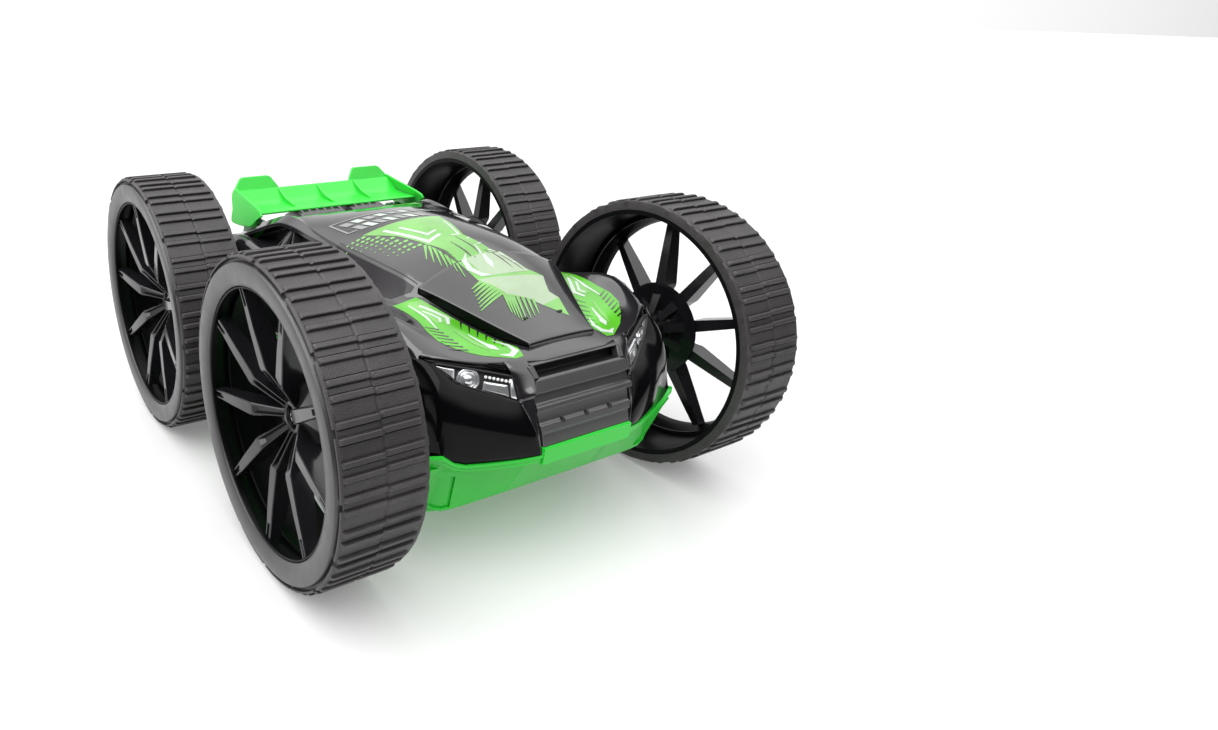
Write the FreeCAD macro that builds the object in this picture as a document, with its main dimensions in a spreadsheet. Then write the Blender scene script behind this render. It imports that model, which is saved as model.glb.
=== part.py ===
import FreeCAD, Part

import math
import os

import Sketcher

# Radio-controlled stunt car with four large paddle wheels.
# Row frame: origin on the ground under the middle of the car, +Z up, nose towards -Y,
# the car's own left side towards +X. All lengths in millimetres.

Vector = FreeCAD.Vector
Placement = FreeCAD.Placement
Rotation = FreeCAD.Rotation

SIZES = {
    # wheels
    "wheel_radius": 65.0,
    "tread_base_radius": 63.8,
    "tyre_bore_radius": 59.8,
    "sidewall_bore_radius": 51.8,
    "wheel_half_width": 16.5,
    "sidewall_bulge": 1.5,
    "track_half": 97.6,
    "wheelbase_half": 74.4,
    "bar_width": 2.0,
    "bar_spacing": 5.0,
    "bar_pairs": 32,
    "spoke_count": 9,
    "spoke_width": 4.0,
    "hub_boss_radius": 6.3,
    "hub_disc_radius": 22.5,
    # shafts and bushes
    "axle_radius": 2.0,
    "running_gap": 0.05,
    "bush_radius": 4.0,
    "housing_radius": 10.0,
    "pin_radius": 1.0,
    # casing
    "belly_height": 28.0,
    "parting_height": 52.0,
    "wall": 2.0,
    "post_radius": 4.0,
    "joint_gap": 0.2,
    # gears
    "gear_module": 0.8,
    "axle_teeth": 36,
    "small_teeth": 12,
    "big_teeth": 30,
    "pinion_teeth": 10,
    # wing
    "wing_half_span": 49.0,
    "plate_thickness": 1.8,
    # battery compartment and cells
    "cell_radius": 7.1,
    "cell_length": 50.0,
    "door_half_width": 33.0,
    "door_half_length": 30.0,
    "door_thickness": 1.8,
}

doc = FreeCAD.newDocument("StuntCar")
sheet = doc.addObject("Spreadsheet::Sheet", "Sizes")
for row, (alias, number) in enumerate(SIZES.items(), start=1):
    sheet.set(f"A{row}", str(number))
    sheet.setAlias(f"A{row}", alias)
doc.recompute()


class Length:
    """A length: its value now, and the sheet expression that drives it."""

    def __init__(self, value, text):
        self.value = float(value)
        self.text = text

    def __add__(self, other):
        other = as_length(other)
        return Length(self.value + other.value, f"({self.text} + {other.text})")

    def __sub__(self, other):
        other = as_length(other)
        return Length(self.value - other.value, f"({self.text} - {other.text})")

    def __mul__(self, other):
        other = as_length(other)
        return Length(self.value * other.value, f"({self.text} * {other.text})")

    def __neg__(self):
        return Length(-self.value, f"(0 - {self.text})")


def as_length(number):
    """Turn a plain number into a Length."""
    if isinstance(number, Length):
        return number
    return Length(number, f"({float(number)!r})")


def size(alias):
    """A sheet cell as a Length."""
    return Length(sheet.get(alias), f"Sizes.{alias}")


wheel_radius = size("wheel_radius")
tread_base_radius = size("tread_base_radius")
tyre_bore_radius = size("tyre_bore_radius")
sidewall_bore_radius = size("sidewall_bore_radius")
wheel_half_width = size("wheel_half_width")
axle_radius = size("axle_radius")
running_gap = size("running_gap")
bush_radius = size("bush_radius")
housing_radius = size("housing_radius")
pin_radius = size("pin_radius")
wall = size("wall")
plate_thickness = size("plate_thickness")

TRACK_HALF = sheet.get("track_half")
WHEELBASE_HALF = sheet.get("wheelbase_half")
AXLE_HEIGHT = sheet.get("wheel_radius")
WALL = sheet.get("wall")
BELLY = sheet.get("belly_height")
PARTING = sheet.get("parting_height")
GAP = sheet.get("joint_gap")

SIDES = (("left", 1), ("right", -1))
ENDS = (("front", -1), ("rear", 1))

nodes = {}


def keep(label, item):
    """Name an object and list it as a sub-part to write out."""
    item.Label = label
    nodes[label] = item
    return item


# ------------------------------------------------------------ Part primitives


def bind(item, prop, length):
    """Set a property from a Length through the sheet."""
    item.setExpression(prop, as_length(length).text)


def box(name, low, high):
    """A box between two corners."""
    item = doc.addObject("Part::Box", name)
    for prop, start, end in zip(("Length", "Width", "Height"), low, high):
        bind(item, prop, as_length(end) - start)
    item.Placement = Placement(Vector(*[as_length(c).value for c in low]), Rotation())
    return item


ALONG_X = Rotation(Vector(0, 1, 0), 90)
ALONG_Y = Rotation(Vector(1, 0, 0), -90)
UPRIGHT = Rotation()


def cylinder(name, radius, length, start, turn=UPRIGHT):
    """A cylinder from start, along +Z or along the axis that turn gives."""
    item = doc.addObject("Part::Cylinder", name)
    bind(item, "Radius", radius)
    bind(item, "Height", length)
    item.Placement = Placement(Vector(*start), turn)
    return item


def cone(name, radius_start, radius_end, length, start, turn=UPRIGHT):
    """A truncated cone from start."""
    item = doc.addObject("Part::Cone", name)
    bind(item, "Radius1", radius_start)
    bind(item, "Radius2", radius_end)
    bind(item, "Height", length)
    item.Placement = Placement(Vector(*start), turn)
    return item


def fuse(name, items):
    joined = doc.addObject("Part::MultiFuse", name)
    joined.Shapes = items
    joined.Refine = True
    return joined


def group(name, items):
    """Separate solids of one kind, kept together in one node."""
    joined = doc.addObject("Part::Compound", name)
    joined.Links = items
    return joined


def cut(name, base, tools):
    """Base less every tool."""
    result = base
    for number, tool in enumerate(tools, start=1):
        step = doc.addObject("Part::Cut", f"{name}_{number}")
        step.Base = result
        step.Tool = tool
        result = step
    return result


def solid(name, shape):
    """A Part::Feature that holds a shape made by Part's own functions."""
    item = doc.addObject("Part::Feature", name)
    item.Shape = shape
    return item


# ------------------------------------------------------- PartDesign sub-parts


def new_body(name):
    return doc.addObject("PartDesign::Body", name)


def origin_plane(body, role):
    return [plane for plane in body.Origin.OriginFeatures if plane.Role == role][0]


def profile(body, name, points, role="XZ_Plane", offset=0.0):
    """A closed outline on one of the body's own planes, every corner dimensioned."""
    sketch = body.newObject("Sketcher::SketchObject", name)
    sketch.AttachmentSupport = [(origin_plane(body, role), "")]
    sketch.MapMode = "FlatFace"
    sketch.AttachmentOffset = Placement(Vector(0, 0, offset), Rotation())
    points = [(as_length(a), as_length(b)) for a, b in points]
    corners = [Vector(a.value, b.value, 0) for a, b in points]
    count = len(corners)
    for number in range(count):
        following = corners[(number + 1) % count]
        sketch.addGeometry(Part.LineSegment(corners[number], following), False)
    for number in range(count):
        meeting = Sketcher.Constraint("Coincident", number, 2, (number + 1) % count, 1)
        sketch.addConstraint(meeting)
    for number, corner in enumerate(points):
        for kind, length in zip(("DistanceX", "DistanceY"), corner):
            dimension = Sketcher.Constraint(kind, -1, 1, number, 1, length.value)
            index = sketch.addConstraint(dimension)
            if "Sizes" in length.text:
                sketch.setExpression(f"Constraints[{index}]", length.text)
    return sketch


def circle(body, name, radius, role="XY_Plane", offset=0.0, centre=(0.0, 0.0)):
    """A circle on one of the body's own planes."""
    sketch = body.newObject("Sketcher::SketchObject", name)
    sketch.AttachmentSupport = [(origin_plane(body, role), "")]
    sketch.MapMode = "FlatFace"
    sketch.AttachmentOffset = Placement(Vector(centre[0], centre[1], offset), Rotation())
    radius = as_length(radius)
    sketch.addGeometry(Part.Circle(Vector(0, 0, 0), Vector(0, 0, 1), radius.value), False)
    sketch.addConstraint(Sketcher.Constraint("Coincident", 0, 3, -1, 1))
    index = sketch.addConstraint(Sketcher.Constraint("Radius", 0, radius.value))
    sketch.setExpression(f"Constraints[{index}]", radius.text)
    return sketch


def revolve(body, name, sketch):
    """Turn a profile about the body's Z axis."""
    feature = body.newObject("PartDesign::Revolution", name)
    feature.Profile = sketch
    feature.ReferenceAxis = (sketch, ["V_Axis"])
    feature.Angle = 360
    return feature


def pad(body, name, sketch, length, both_ways=False):
    feature = body.newObject("PartDesign::Pad", name)
    feature.Profile = sketch
    bind(feature, "Length", length)
    feature.Midplane = both_ways
    return feature


def pocket(body, name, sketch, length):
    feature = body.newObject("PartDesign::Pocket", name)
    feature.Profile = sketch
    bind(feature, "Length", length)
    return feature


def polar_pattern(body, name, original, axis, alias):
    """Repeat a feature round an axis as many times as the sheet says."""
    pattern = body.newObject("PartDesign::PolarPattern", name)
    pattern.Originals = [original]
    pattern.Axis = axis
    pattern.Angle = 360
    pattern.setExpression("Occurrences", f"Sizes.{alias}")
    body.Tip = pattern
    return pattern


# -------------------------------------------------------------------- wheels
# Each wheel is drawn about its own Z axis, with +Z pointing away from the car.

RIM_SEAT = 9.5
SIDEWALL_SEAT = 12.8
BARREL_THICKNESS = 2.0
SPOKE_KNEE = 20.3
HUB_FACE = 3.8
HUB_RECESS_RADIUS = 4.5
SCREW_SEAT = 0.8
SCREW_HEAD = 2.2
SCREW_LENGTH = 8.0
# degrees each free-rolling wheel has come to rest at, by side and end
SPOKE_SPIN = {(1, -1): 10.0, (1, 1): 12.0, (-1, -1): 19.7, (-1, 1): 6.5}


def wheel_place(side, end):
    """Where a wheel's own frame stands in the car."""
    turn = Rotation(Vector(0, 1, 0), 90 * side)
    spin = Rotation(Vector(0, 0, 1), SPOKE_SPIN[side, end])
    centre = Vector(side * TRACK_HALF, end * WHEELBASE_HALF, AXLE_HEIGHT)
    return Placement(centre, turn.multiply(spin))


def make_tyre(name, place):
    """Tread band with paired cross bars, rolled over the rim as a bulging sidewall ring."""
    body = new_body(name + "_body")
    lip = -wheel_half_width
    face = wheel_half_width
    bulge = face + size("sidewall_bulge")
    section = [
        (tyre_bore_radius, lip),
        (tread_base_radius, lip),
        (tread_base_radius, face - 0.7),
        (tread_base_radius - 1.0, face + 0.3),
        (sidewall_bore_radius + 8.2, bulge),
        (sidewall_bore_radius + 5.2, bulge),
        (sidewall_bore_radius, face - 0.2),
        (sidewall_bore_radius, as_length(SIDEWALL_SEAT) + 0.1),
        (sidewall_bore_radius + 2.3, as_length(SIDEWALL_SEAT) + 0.1),
        (tyre_bore_radius, as_length(RIM_SEAT) + 0.1),
    ]
    revolve(body, name + "_band", profile(body, name + "_section", section))
    half_bar = size("bar_width") * 0.5
    half_gap = size("bar_spacing") * 0.5 - half_bar
    bar_far = half_gap + size("bar_width")
    bar_top = as_length(0.0) + Length(
        math.sqrt(wheel_radius.value ** 2 - bar_far.value ** 2),
        f"sqrt({wheel_radius.text} ^ 2 - {bar_far.text} ^ 2)",
    )
    bar_root = tread_base_radius - 0.6
    bar_start = -wheel_half_width.value + 0.3
    bar_length = wheel_half_width * 2.0 - 0.8
    bars = []
    for number, (near, far) in enumerate(((half_gap, bar_far), (-bar_far, -half_gap))):
        outline = [(bar_root, near), (bar_top, near), (bar_top, far), (bar_root, far)]
        sketch = profile(body, f"{name}_bar{number}", outline, "XY_Plane", bar_start)
        bars.append(pad(body, f"{name}_bar_pad{number}", sketch, bar_length))
    axis = (sketch, ["N_Axis"])
    pattern = polar_pattern(body, name + "_bars", bars[0], axis, "bar_pairs")
    pattern.Originals = bars
    body.Placement = place
    return keep(name, body)


def make_rim(name, place):
    """Open barrel, stepped face ring, hub and bent spokes."""
    body = new_body(name + "_body")
    barrel_outer = tyre_bore_radius - 0.1
    barrel_inner = barrel_outer - BARREL_THICKNESS
    lip = -wheel_half_width + 0.2
    ring_outer = sidewall_bore_radius - 0.1
    section = [
        (barrel_inner, lip),
        (barrel_outer, lip),
        (barrel_outer, RIM_SEAT),
        (ring_outer + 2.3, SIDEWALL_SEAT),
        (ring_outer, SIDEWALL_SEAT),
        (ring_outer, wheel_half_width - 0.9),
        (ring_outer - 1.7, wheel_half_width - 0.9),
        (ring_outer - 1.7, SIDEWALL_SEAT - 1.8),
        (ring_outer + 1.5, SIDEWALL_SEAT - 1.8),
        (barrel_inner, RIM_SEAT - 1.6),
    ]
    revolve(body, name + "_barrel", profile(body, name + "_section", section))
    boss = size("hub_boss_radius")
    disc = size("hub_disc_radius")
    hub_section = [
        (axle_radius, -9.0),
        (boss + 2.0, -9.0),
        (boss + 2.0, 1.0),
        (disc, 1.0),
        (disc, 2.6),
        (boss, 3.2),
        (boss, HUB_FACE),
        (HUB_RECESS_RADIUS, HUB_FACE),
        (HUB_RECESS_RADIUS, SCREW_SEAT),
        (axle_radius, SCREW_SEAT),
    ]
    revolve(body, name + "_hub", profile(body, name + "_hub_section", hub_section))
    spoke_outline = [
        (boss - 0.3, 3.4),
        (SPOKE_KNEE, 11.8),
        (ring_outer - 0.6, 15.0),
        (ring_outer - 0.6, 9.6),
        (SPOKE_KNEE, 2.6),
        (boss - 0.3, -4.6),
    ]
    spoke_sketch = profile(body, name + "_spoke_section", spoke_outline)
    spoke = pad(body, name + "_spoke", spoke_sketch, size("spoke_width"), both_ways=True)
    polar_pattern(body, name + "_spokes", spoke, (spoke_sketch, ["V_Axis"]), "spoke_count")
    bore = circle(body, name + "_bore_circle", axle_radius, "XY_Plane", SCREW_SEAT)
    pocket(body, name + "_bore", bore, 12.0)
    recess = circle(body, name + "_recess_circle", HUB_RECESS_RADIUS, "XY_Plane", HUB_FACE + 0.2)
    pocket(body, name + "_recess", recess, HUB_FACE + 0.2 - SCREW_SEAT)
    body.Placement = place
    return keep(name, body)


def make_screw(name, place, head_radius, head_height, shank_radius, shank_length):
    """Pan-head screw with a cross recess, drawn head up with the shank below z = 0."""
    body = new_body(name + "_body")
    outline = [
        (0, -shank_length),
        (shank_radius, -shank_length + shank_radius * 0.8),
        (shank_radius, 0),
        (head_radius, 0),
        (head_radius, head_height * 0.55),
        (head_radius * 0.6, head_height),
        (0, head_height),
    ]
    revolve(body, name + "_turned", profile(body, name + "_outline", outline))
    half_slot = head_radius * 0.12
    reach = head_radius * 0.55
    for number, (a, b) in enumerate(((reach, half_slot), (half_slot, reach))):
        corners = [(-a, -b), (a, -b), (a, b), (-a, b)]
        sketch = profile(body, f"{name}_slot{number}", corners, "XY_Plane", head_height)
        pocket(body, f"{name}_slot_cut{number}", sketch, head_height * 0.5)
    body.Placement = place
    return body


AXLE_OUTER_END = TRACK_HALF + SCREW_SEAT
AXLE_INNER_END = {"front": 50.0, "rear": 32.4}
AXLE_HOLE_DEPTH = 9.0


def make_axle(name, side, end_name, end):
    """Steel half-shaft with a tapped hole for the wheel screw in its outer end."""
    inner = AXLE_INNER_END[end_name]
    y = end * WHEELBASE_HALF
    low_x = inner if side > 0 else -AXLE_OUTER_END
    shaft = cylinder(name + "_rod", axle_radius, AXLE_OUTER_END - inner, (low_x, y, AXLE_HEIGHT), ALONG_X)
    hole_x = AXLE_OUTER_END - AXLE_HOLE_DEPTH if side > 0 else -AXLE_OUTER_END
    hole = cylinder(name + "_hole", 1.0, AXLE_HOLE_DEPTH, (hole_x, y, AXLE_HEIGHT), ALONG_X)
    return keep(name, cut(name + "_drilled", shaft, [hole]))


def make_wheels():
    for end_name, end in ENDS:
        for side_name, side in SIDES:
            where = f"{end_name}_{side_name}"
            place = wheel_place(side, end)
            make_tyre("tyre_" + where, place)
            make_rim("rim_" + where, place)
            screw_place = place.multiply(Placement(Vector(0, 0, SCREW_SEAT), Rotation()))
            screw = make_screw("wheel_screw_" + where, screw_place, 3.6, SCREW_HEAD, 1.0, SCREW_LENGTH)
            keep("wheel_screw_" + where, screw)
            make_axle("axle_" + where, side, end_name, end)


# ---------------------------------------------------------------- lofted casing


def mirrored_ring(half_outline, height):
    """A closed wire at one height from the +X half of an outline, front to back."""
    right = [Vector(-x, y, height) for x, y in reversed(half_outline) if x > 0]
    left = [Vector(x, y, height) for x, y in half_outline]
    ring = left + right
    return Part.makePolygon(ring + [ring[0]])


def section_wire(station, half_points):
    """A closed wire across the car at one station, from its +X half, sill to crown."""
    left = [Vector(x, station, z) for x, z in half_points]
    right = [Vector(-x, station, z) for x, z in reversed(half_points) if x > 0]
    ring = left + right
    return Part.makePolygon(ring + [ring[0]])


def ruled_loft(wires):
    return Part.makeLoft(wires, True, True)


# Tub outline, from the nose to the tail: +X half at three heights.
TUB_LEVELS = (
    (BELLY, [(0, -110), (23, -110), (54, -109), (62, -106), (62, -95), (56, -80), (54, 0), (54, 80),
             (56, 100), (48, 112), (0, 112)]),
    (46.0, [(0, -120), (23, -120), (50, -112), (64, -112), (65, -98), (60, -80), (58, 0), (58, 80),
            (60, 103), (50, 118), (0, 119)]),
    (PARTING, [(0, -130), (23, -129.5), (54, -115), (64, -115), (66, -100), (60.5, -80), (58, 0),
               (58, 80), (60, 104), (51, 119), (0, 120)]),
)

# Shell sections: station, then +X half points (x, z) from the sill to the crown.
SHELL_SECTIONS = (
    (-128.5, [(24, 57.5), (24, 59), (22, 60), (15, 61), (8, 61.3), (0, 61.5)]),
    (-121.0, [(39, 52), (38, 63), (32, 75), (24, 81), (15, 83), (0, 84)]),
    (-116.0, [(53, 52), (52, 66), (41, 80), (30, 85.5), (20, 88), (0, 89)]),
    (-108.0, [(62.5, 52), (62.5, 68), (54, 86), (38, 89), (20, 91.5), (0, 93)]),
    (-100.0, [(64, 52), (66, 72), (59, 90), (45, 91), (30, 94.5), (0, 97)]),
    (-85.0, [(62, 52), (66, 76), (60, 98), (46, 95.5), (34, 99), (0, 103)]),
    (-69.0, [(60, 52), (64, 76), (57, 99.5), (46, 97.5), (38, 104), (0, 110)]),
    (-55.0, [(56, 52), (59, 74), (54, 93), (47, 96), (38, 107), (0, 114.8)]),
    (-40.0, [(55, 52), (56, 72), (52, 88), (46, 98), (37, 109.5), (0, 117.4)]),
    (-10.0, [(55, 52), (56, 72), (52, 88), (46, 97), (37, 110), (0, 117.8)]),
    (20.0, [(55, 52), (56, 72), (53, 88), (47, 95), (38, 108.5), (0, 115.4)]),
    (45.0, [(55, 52), (57, 72), (55, 90), (48, 99), (41, 108), (0, 109.5)]),
    (52.0, [(55, 52), (58, 74), (56, 92), (49, 99), (42, 106), (0, 98)]),
    (80.0, [(56, 52), (61, 76), (58, 95), (50, 97), (42, 94), (0, 92)]),
    (104.0, [(57, 52), (61, 72), (57, 86), (49, 86), (40, 82), (0, 80)]),
    (118.0, [(50, 52), (52, 60), (50, 68), (43, 69), (36, 68), (0, 68)]),
)


def tub_loft(inset):
    """The tub's outer body, or with an inset, the space inside it."""
    wires = []
    for height, outline in TUB_LEVELS:
        moved = [(max(x - inset, 0.0), y - math.copysign(inset, y)) for x, y in outline]
        if inset and height == BELLY:
            height += inset
        if inset and height == PARTING:
            height += inset
        wires.append(mirrored_ring(moved, height))
    return ruled_loft(wires)


def shell_loft(inset):
    """The upper shell's outer body, or with an inset, the space inside it."""
    wires = []
    for station, points in SHELL_SECTIONS:
        if station in (SHELL_SECTIONS[0][0], SHELL_SECTIONS[-1][0]):
            station -= math.copysign(inset, station)
        sill_x, sill_z = points[0]
        moved = [(sill_x - inset, sill_z - inset)]
        moved += [(max(x - inset, 0.0), z - inset * 1.1) for x, z in points[1:]]
        wires.append(section_wire(station, moved))
    return ruled_loft(wires)


def extrude_side(outline, start_x, end_x):
    """A prism along X from an outline of (y, z) points."""
    points = [Vector(start_x, y, z) for y, z in outline]
    face = Part.Face(Part.makePolygon(points + [points[0]]))
    return face.extrude(Vector(end_x - start_x, 0, 0))


def extrude_points(points, direction):
    """A prism from a flat ring of points."""
    return Part.Face(Part.makePolygon(points + [points[0]])).extrude(direction)


# front grille: a raked bar panel between the cheeks, with an upper intake slot
GRILLE_HALF = 22.0
GRILLE_OUTLINE = (
    (-130.0, 57.6), (-130.0, 60.0), (-127.3, 61.0), (-127.3, 65.0), (-124.6, 66.0), (-125.4, 70.5),
    (-122.6, 72.0), (-123.4, 76.5), (-120.6, 78.0), (-121.0, 82.4), (-117.5, 83.7), (-112.0, 83.7),
    (-122.0, 57.6),
)
GRILLE_BOLT_X = (-12.3, 0.0, 12.3)

LAMP_CORNERS = (
    (29.0, -123.5, 74.5), (29.6, -120.0, 84.0), (56.8, -106.0, 89.2),
    (50.0, -112.0, 80.0), (40.0, -119.0, 75.5),
)
LAMP_DEPTH = Vector(-2.0, 9.0, -1.0)

LOUVRE_OUTLINE = (
    (5.0, 88.0), (8.0, 97.0), (30.0, 104.5), (44.0, 102.0), (68.0, 88.0), (66.0, 84.0), (10.0, 84.0),
)
LOUVRE_GROOVE_Y = (16.0, 24.0, 32.0, 40.0, 48.0, 56.0)
LOUVRE_INNER_X = 44.0
LOUVRE_OUTER_X = 56.0

SCREW_POSTS = ((44.0, -97.0), (47.0, 104.0))
AXLE_OPENING = 13.4

# battery compartment in the belly, and its door's hinge line along the front edge
COMPARTMENT_Y = -10.0
DOOR_THICKNESS = sheet.get("door_thickness")
DOOR_HINGE_Y = COMPARTMENT_Y - sheet.get("door_half_length") + DOOR_THICKNESS / 2.0
DOOR_HINGE_Z = BELLY + DOOR_THICKNESS / 2.0
DOOR_PIN_RADIUS = 0.55
DOOR_PIN_REACH = 1.6
DOOR_GAP = 0.3

SWITCH_Y = 46.0


def lamp_prism(side, grow=0.0):
    """A headlamp's block, through the corner of the nose."""
    centre_y = sum(y for _, y, _ in LAMP_CORNERS) / len(LAMP_CORNERS)
    centre_z = sum(z for _, _, z in LAMP_CORNERS) / len(LAMP_CORNERS)
    centre_x = sum(x for x, _, _ in LAMP_CORNERS) / len(LAMP_CORNERS)
    points = []
    for x, _, z in LAMP_CORNERS:
        # the lamp's own plane leans back with the nose
        px = x + math.copysign(grow, x - centre_x)
        pz = z + math.copysign(grow, z - centre_z)
        py = centre_y + 0.55 * (px - centre_x) + 0.25 * (pz - centre_z)
        points.append(Vector(side * px, py - 4.0, pz))
    return extrude_points(points, Vector(side * LAMP_DEPTH.x, LAMP_DEPTH.y + 5.0, LAMP_DEPTH.z))


def louvre_prism(side, grow=0.0):
    points = []
    for y, z in LOUVRE_OUTLINE:
        points.append((y + math.copysign(grow, y - 35.0), z + math.copysign(grow, z - 93.0)))
    return extrude_side(points, side * LOUVRE_INNER_X, side * LOUVRE_OUTER_X)


def make_casing():
    """Green tub and black shell, hollow, screwed together, with their inserts."""
    # tub
    tub = tub_loft(0.0).cut(tub_loft(WALL))
    sill = extrude_side([(-130.2, PARTING - 1.5), (-130.6, 57.4), (-126.0, 57.4), (-125.0, PARTING - 1.5)],
                        -22.8, 22.8)
    tub = tub.fuse(sill)
    door_x = sheet.get("door_half_width")
    door_y = sheet.get("door_half_length")
    tray_top = BELLY + 21.0
    tray = Part.makeBox(2 * (door_x + 2), 2 * (door_y + 2), tray_top - BELLY - 1,
                        Vector(-door_x - 2, COMPARTMENT_Y - door_y - 2, BELLY + 1))
    tray_space = Part.makeBox(2 * door_x - 2, 2 * door_y - 2, tray_top - BELLY - 1.6,
                              Vector(-door_x + 1, COMPARTMENT_Y - door_y + 1, BELLY))
    door_recess = Part.makeBox(2 * (door_x + DOOR_GAP), 2 * (door_y + DOOR_GAP), WALL,
                               Vector(-door_x - DOOR_GAP, COMPARTMENT_Y - door_y - DOOR_GAP, BELLY))
    pin_reach = door_x + DOOR_PIN_REACH + DOOR_GAP
    pin_hole = Part.makeCylinder(DOOR_PIN_RADIUS + sheet.get("running_gap"), 2 * pin_reach,
                                 Vector(-pin_reach, DOOR_HINGE_Y, DOOR_HINGE_Z), Vector(1, 0, 0))
    switch_slot = Part.makeBox(10.0, 4.0, 8.0, Vector(-5.0, SWITCH_Y - 2.0, BELLY - 1))
    tub = tub.fuse(tray).cut(tray_space).cut(door_recess).cut(pin_hole).cut(switch_slot)
    door_boss = Part.makeCylinder(3.0, 4.0, Vector(0, COMPARTMENT_Y + door_y + 4.5, BELLY + 1.9))
    tub = tub.fuse(door_boss)
    for x, y in SCREW_POSTS:
        for side in (1, -1):
            boss = Part.makeCylinder(5.0, PARTING - BELLY - 1.2, Vector(side * x, y, BELLY + 0.8))
            well = Part.makeCylinder(3.4, 4.0, Vector(side * x, y, BELLY - 1))
            hole = Part.makeCylinder(1.6, 40.0, Vector(side * x, y, BELLY - 1))
            tub = tub.fuse(boss).cut(well).cut(hole)
    keep("lower_shell", solid("lower_shell_tub", tub.removeSplitter()))

    # upper shell
    outer = shell_loft(0.0)
    shell = outer.cut(shell_loft(WALL))
    for x, y in SCREW_POSTS:
        for side in (1, -1):
            foot = Vector(side * x, y, PARTING)
            post = Part.makeCylinder(sheet.get("post_radius"), 60.0, foot)
            pilot = Part.makeCylinder(1.4, 12.0, Vector(side * x, y, PARTING - 1))
            shell = shell.fuse(post.common(outer)).cut(pilot)
    grille_space = extrude_side([(-140.0, 50.0), (-140.0, 83.9), (-111.6, 83.9), (-121.6, 50.0)],
                                -GRILLE_HALF - GAP, GRILLE_HALF + GAP)
    shell = shell.cut(grille_space)
    for side in (1, -1):
        shell = shell.cut(lamp_prism(side, GAP))
        shell = shell.cut(louvre_prism(side, 2 * GAP))
        hole_foot = Vector(side * WING_SCREW_X, WING_SCREW_Y, WING_SCREW_Z - 12.0)
        wing_hole = Part.makeCylinder(1.05, 12.0, hole_foot)
        shell = shell.cut(wing_hole)
        for _, end in ENDS:
            hub_foot = Vector(side * 45.0, end * WHEELBASE_HALF, AXLE_HEIGHT)
            opening = Part.makeCylinder(AXLE_OPENING, 30.0, hub_foot, Vector(side, 0, 0))
            shell = shell.cut(opening)
    keep("upper_shell", solid("upper_shell_cover", shell))
    return outer


def make_inserts(outer):
    """Grille, headlamps and side louvres, set into the shell's openings."""
    grille = extrude_side(GRILLE_OUTLINE, -GRILLE_HALF, GRILLE_HALF)
    slot = extrude_side([(-130.0, 79.2), (-130.0, 81.4), (-117.8, 82.4), (-117.4, 80.4)], -18.0, 18.0)
    grille = grille.cut(slot)
    for x in GRILLE_BOLT_X:
        bolt = Part.makeCylinder(1.0, 1.2, Vector(x, -127.9, 63.0), Vector(0, 1, 0))
        grille = grille.fuse(bolt)
    keep("front_grille", solid("front_grille_panel", grille))

    skin_in = outer.copy()
    for side_name, side in SIDES:
        lamp = lamp_prism(side).common(skin_in)
        keep("headlamp_" + side_name, solid(f"headlamp_{side_name}_block", lamp))
        panel = louvre_prism(side).common(skin_in)
        slats = panel
        for y in LOUVRE_GROOVE_Y:
            groove_box = Part.makeBox(4.0, 5.0, 30.0, Vector(0, y, 80.0))
            shift = 51.0 if side > 0 else -55.0
            groove_box.translate(Vector(shift, 0, 0))
            slats = slats.cut(groove_box)
        keep("side_louvre_" + side_name, solid(f"side_louvre_{side_name}_panel", slats))


# ------------------------------------------------------------ deck and rear wing


PLINTH_OUTLINE = ((54.0, 90.0), (54.0, 100.0), (66.0, 101.5), (96.0, 96.0), (98.0, 82.0))
PLINTH_HALF = 27.0
HUMP_OUTLINE = ((64.0, 98.0), (67.0, 105.0), (80.0, 104.0), (92.0, 97.0), (92.0, 92.0))
HUMP_SPANS = ((6.0, 25.0), (-25.0, -3.0))
DECK_SLOT_X = (-20.5, -16.0, -11.5, -7.0, 10.0, 14.5, 19.0)


def make_rear_deck(outer):
    """Dark engine cover behind the roof: a low plinth with two humps."""
    deck = extrude_side(PLINTH_OUTLINE, -PLINTH_HALF, PLINTH_HALF)
    for low_x, high_x in HUMP_SPANS:
        deck = deck.fuse(extrude_side(HUMP_OUTLINE, low_x, high_x))
    for x in DECK_SLOT_X:
        slot = Part.makeBox(1.6, 30.0, 8.0, Vector(x, 62.0, 102.4))
        deck = deck.cut(slot)
    keep("rear_deck", solid("rear_deck_cover", deck.cut(outer)))


WING_BLADE = (
    (71.5, 105.2), (72.0, 106.4), (80.0, 105.6), (92.0, 107.6), (101.5, 112.0), (103.4, 111.4),
    (93.0, 106.2), (80.0, 104.2),
)
WING_PLATE = (
    (64.0, 107.3), (68.0, 108.4), (86.0, 110.6), (104.0, 112.0), (105.0, 110.0),
    (101.0, 103.0), (100.0, 98.5), (90.0, 97.2), (73.0, 99.0),
)
WING_RIB = ((76.0, 104.6), (76.0, 107.2), (92.0, 109.4), (101.0, 112.2), (101.5, 111.0), (90.0, 106.0))
WING_RIB_X = (-24.0, 0.0, 24.0)
WING_FOOT = ((76.0, 90.0), (76.0, 99.6), (90.0, 99.2), (90.0, 88.0))
WING_SCREW_X = 45.0
WING_SCREW_Y = 83.0
WING_SCREW_Z = 99.6
WING_SCREW_LENGTH = 7.0
WING_FIN = ((26.0, 110.5), (29.0, 117.8), (45.0, 117.8), (48.6, 110.5))


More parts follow.
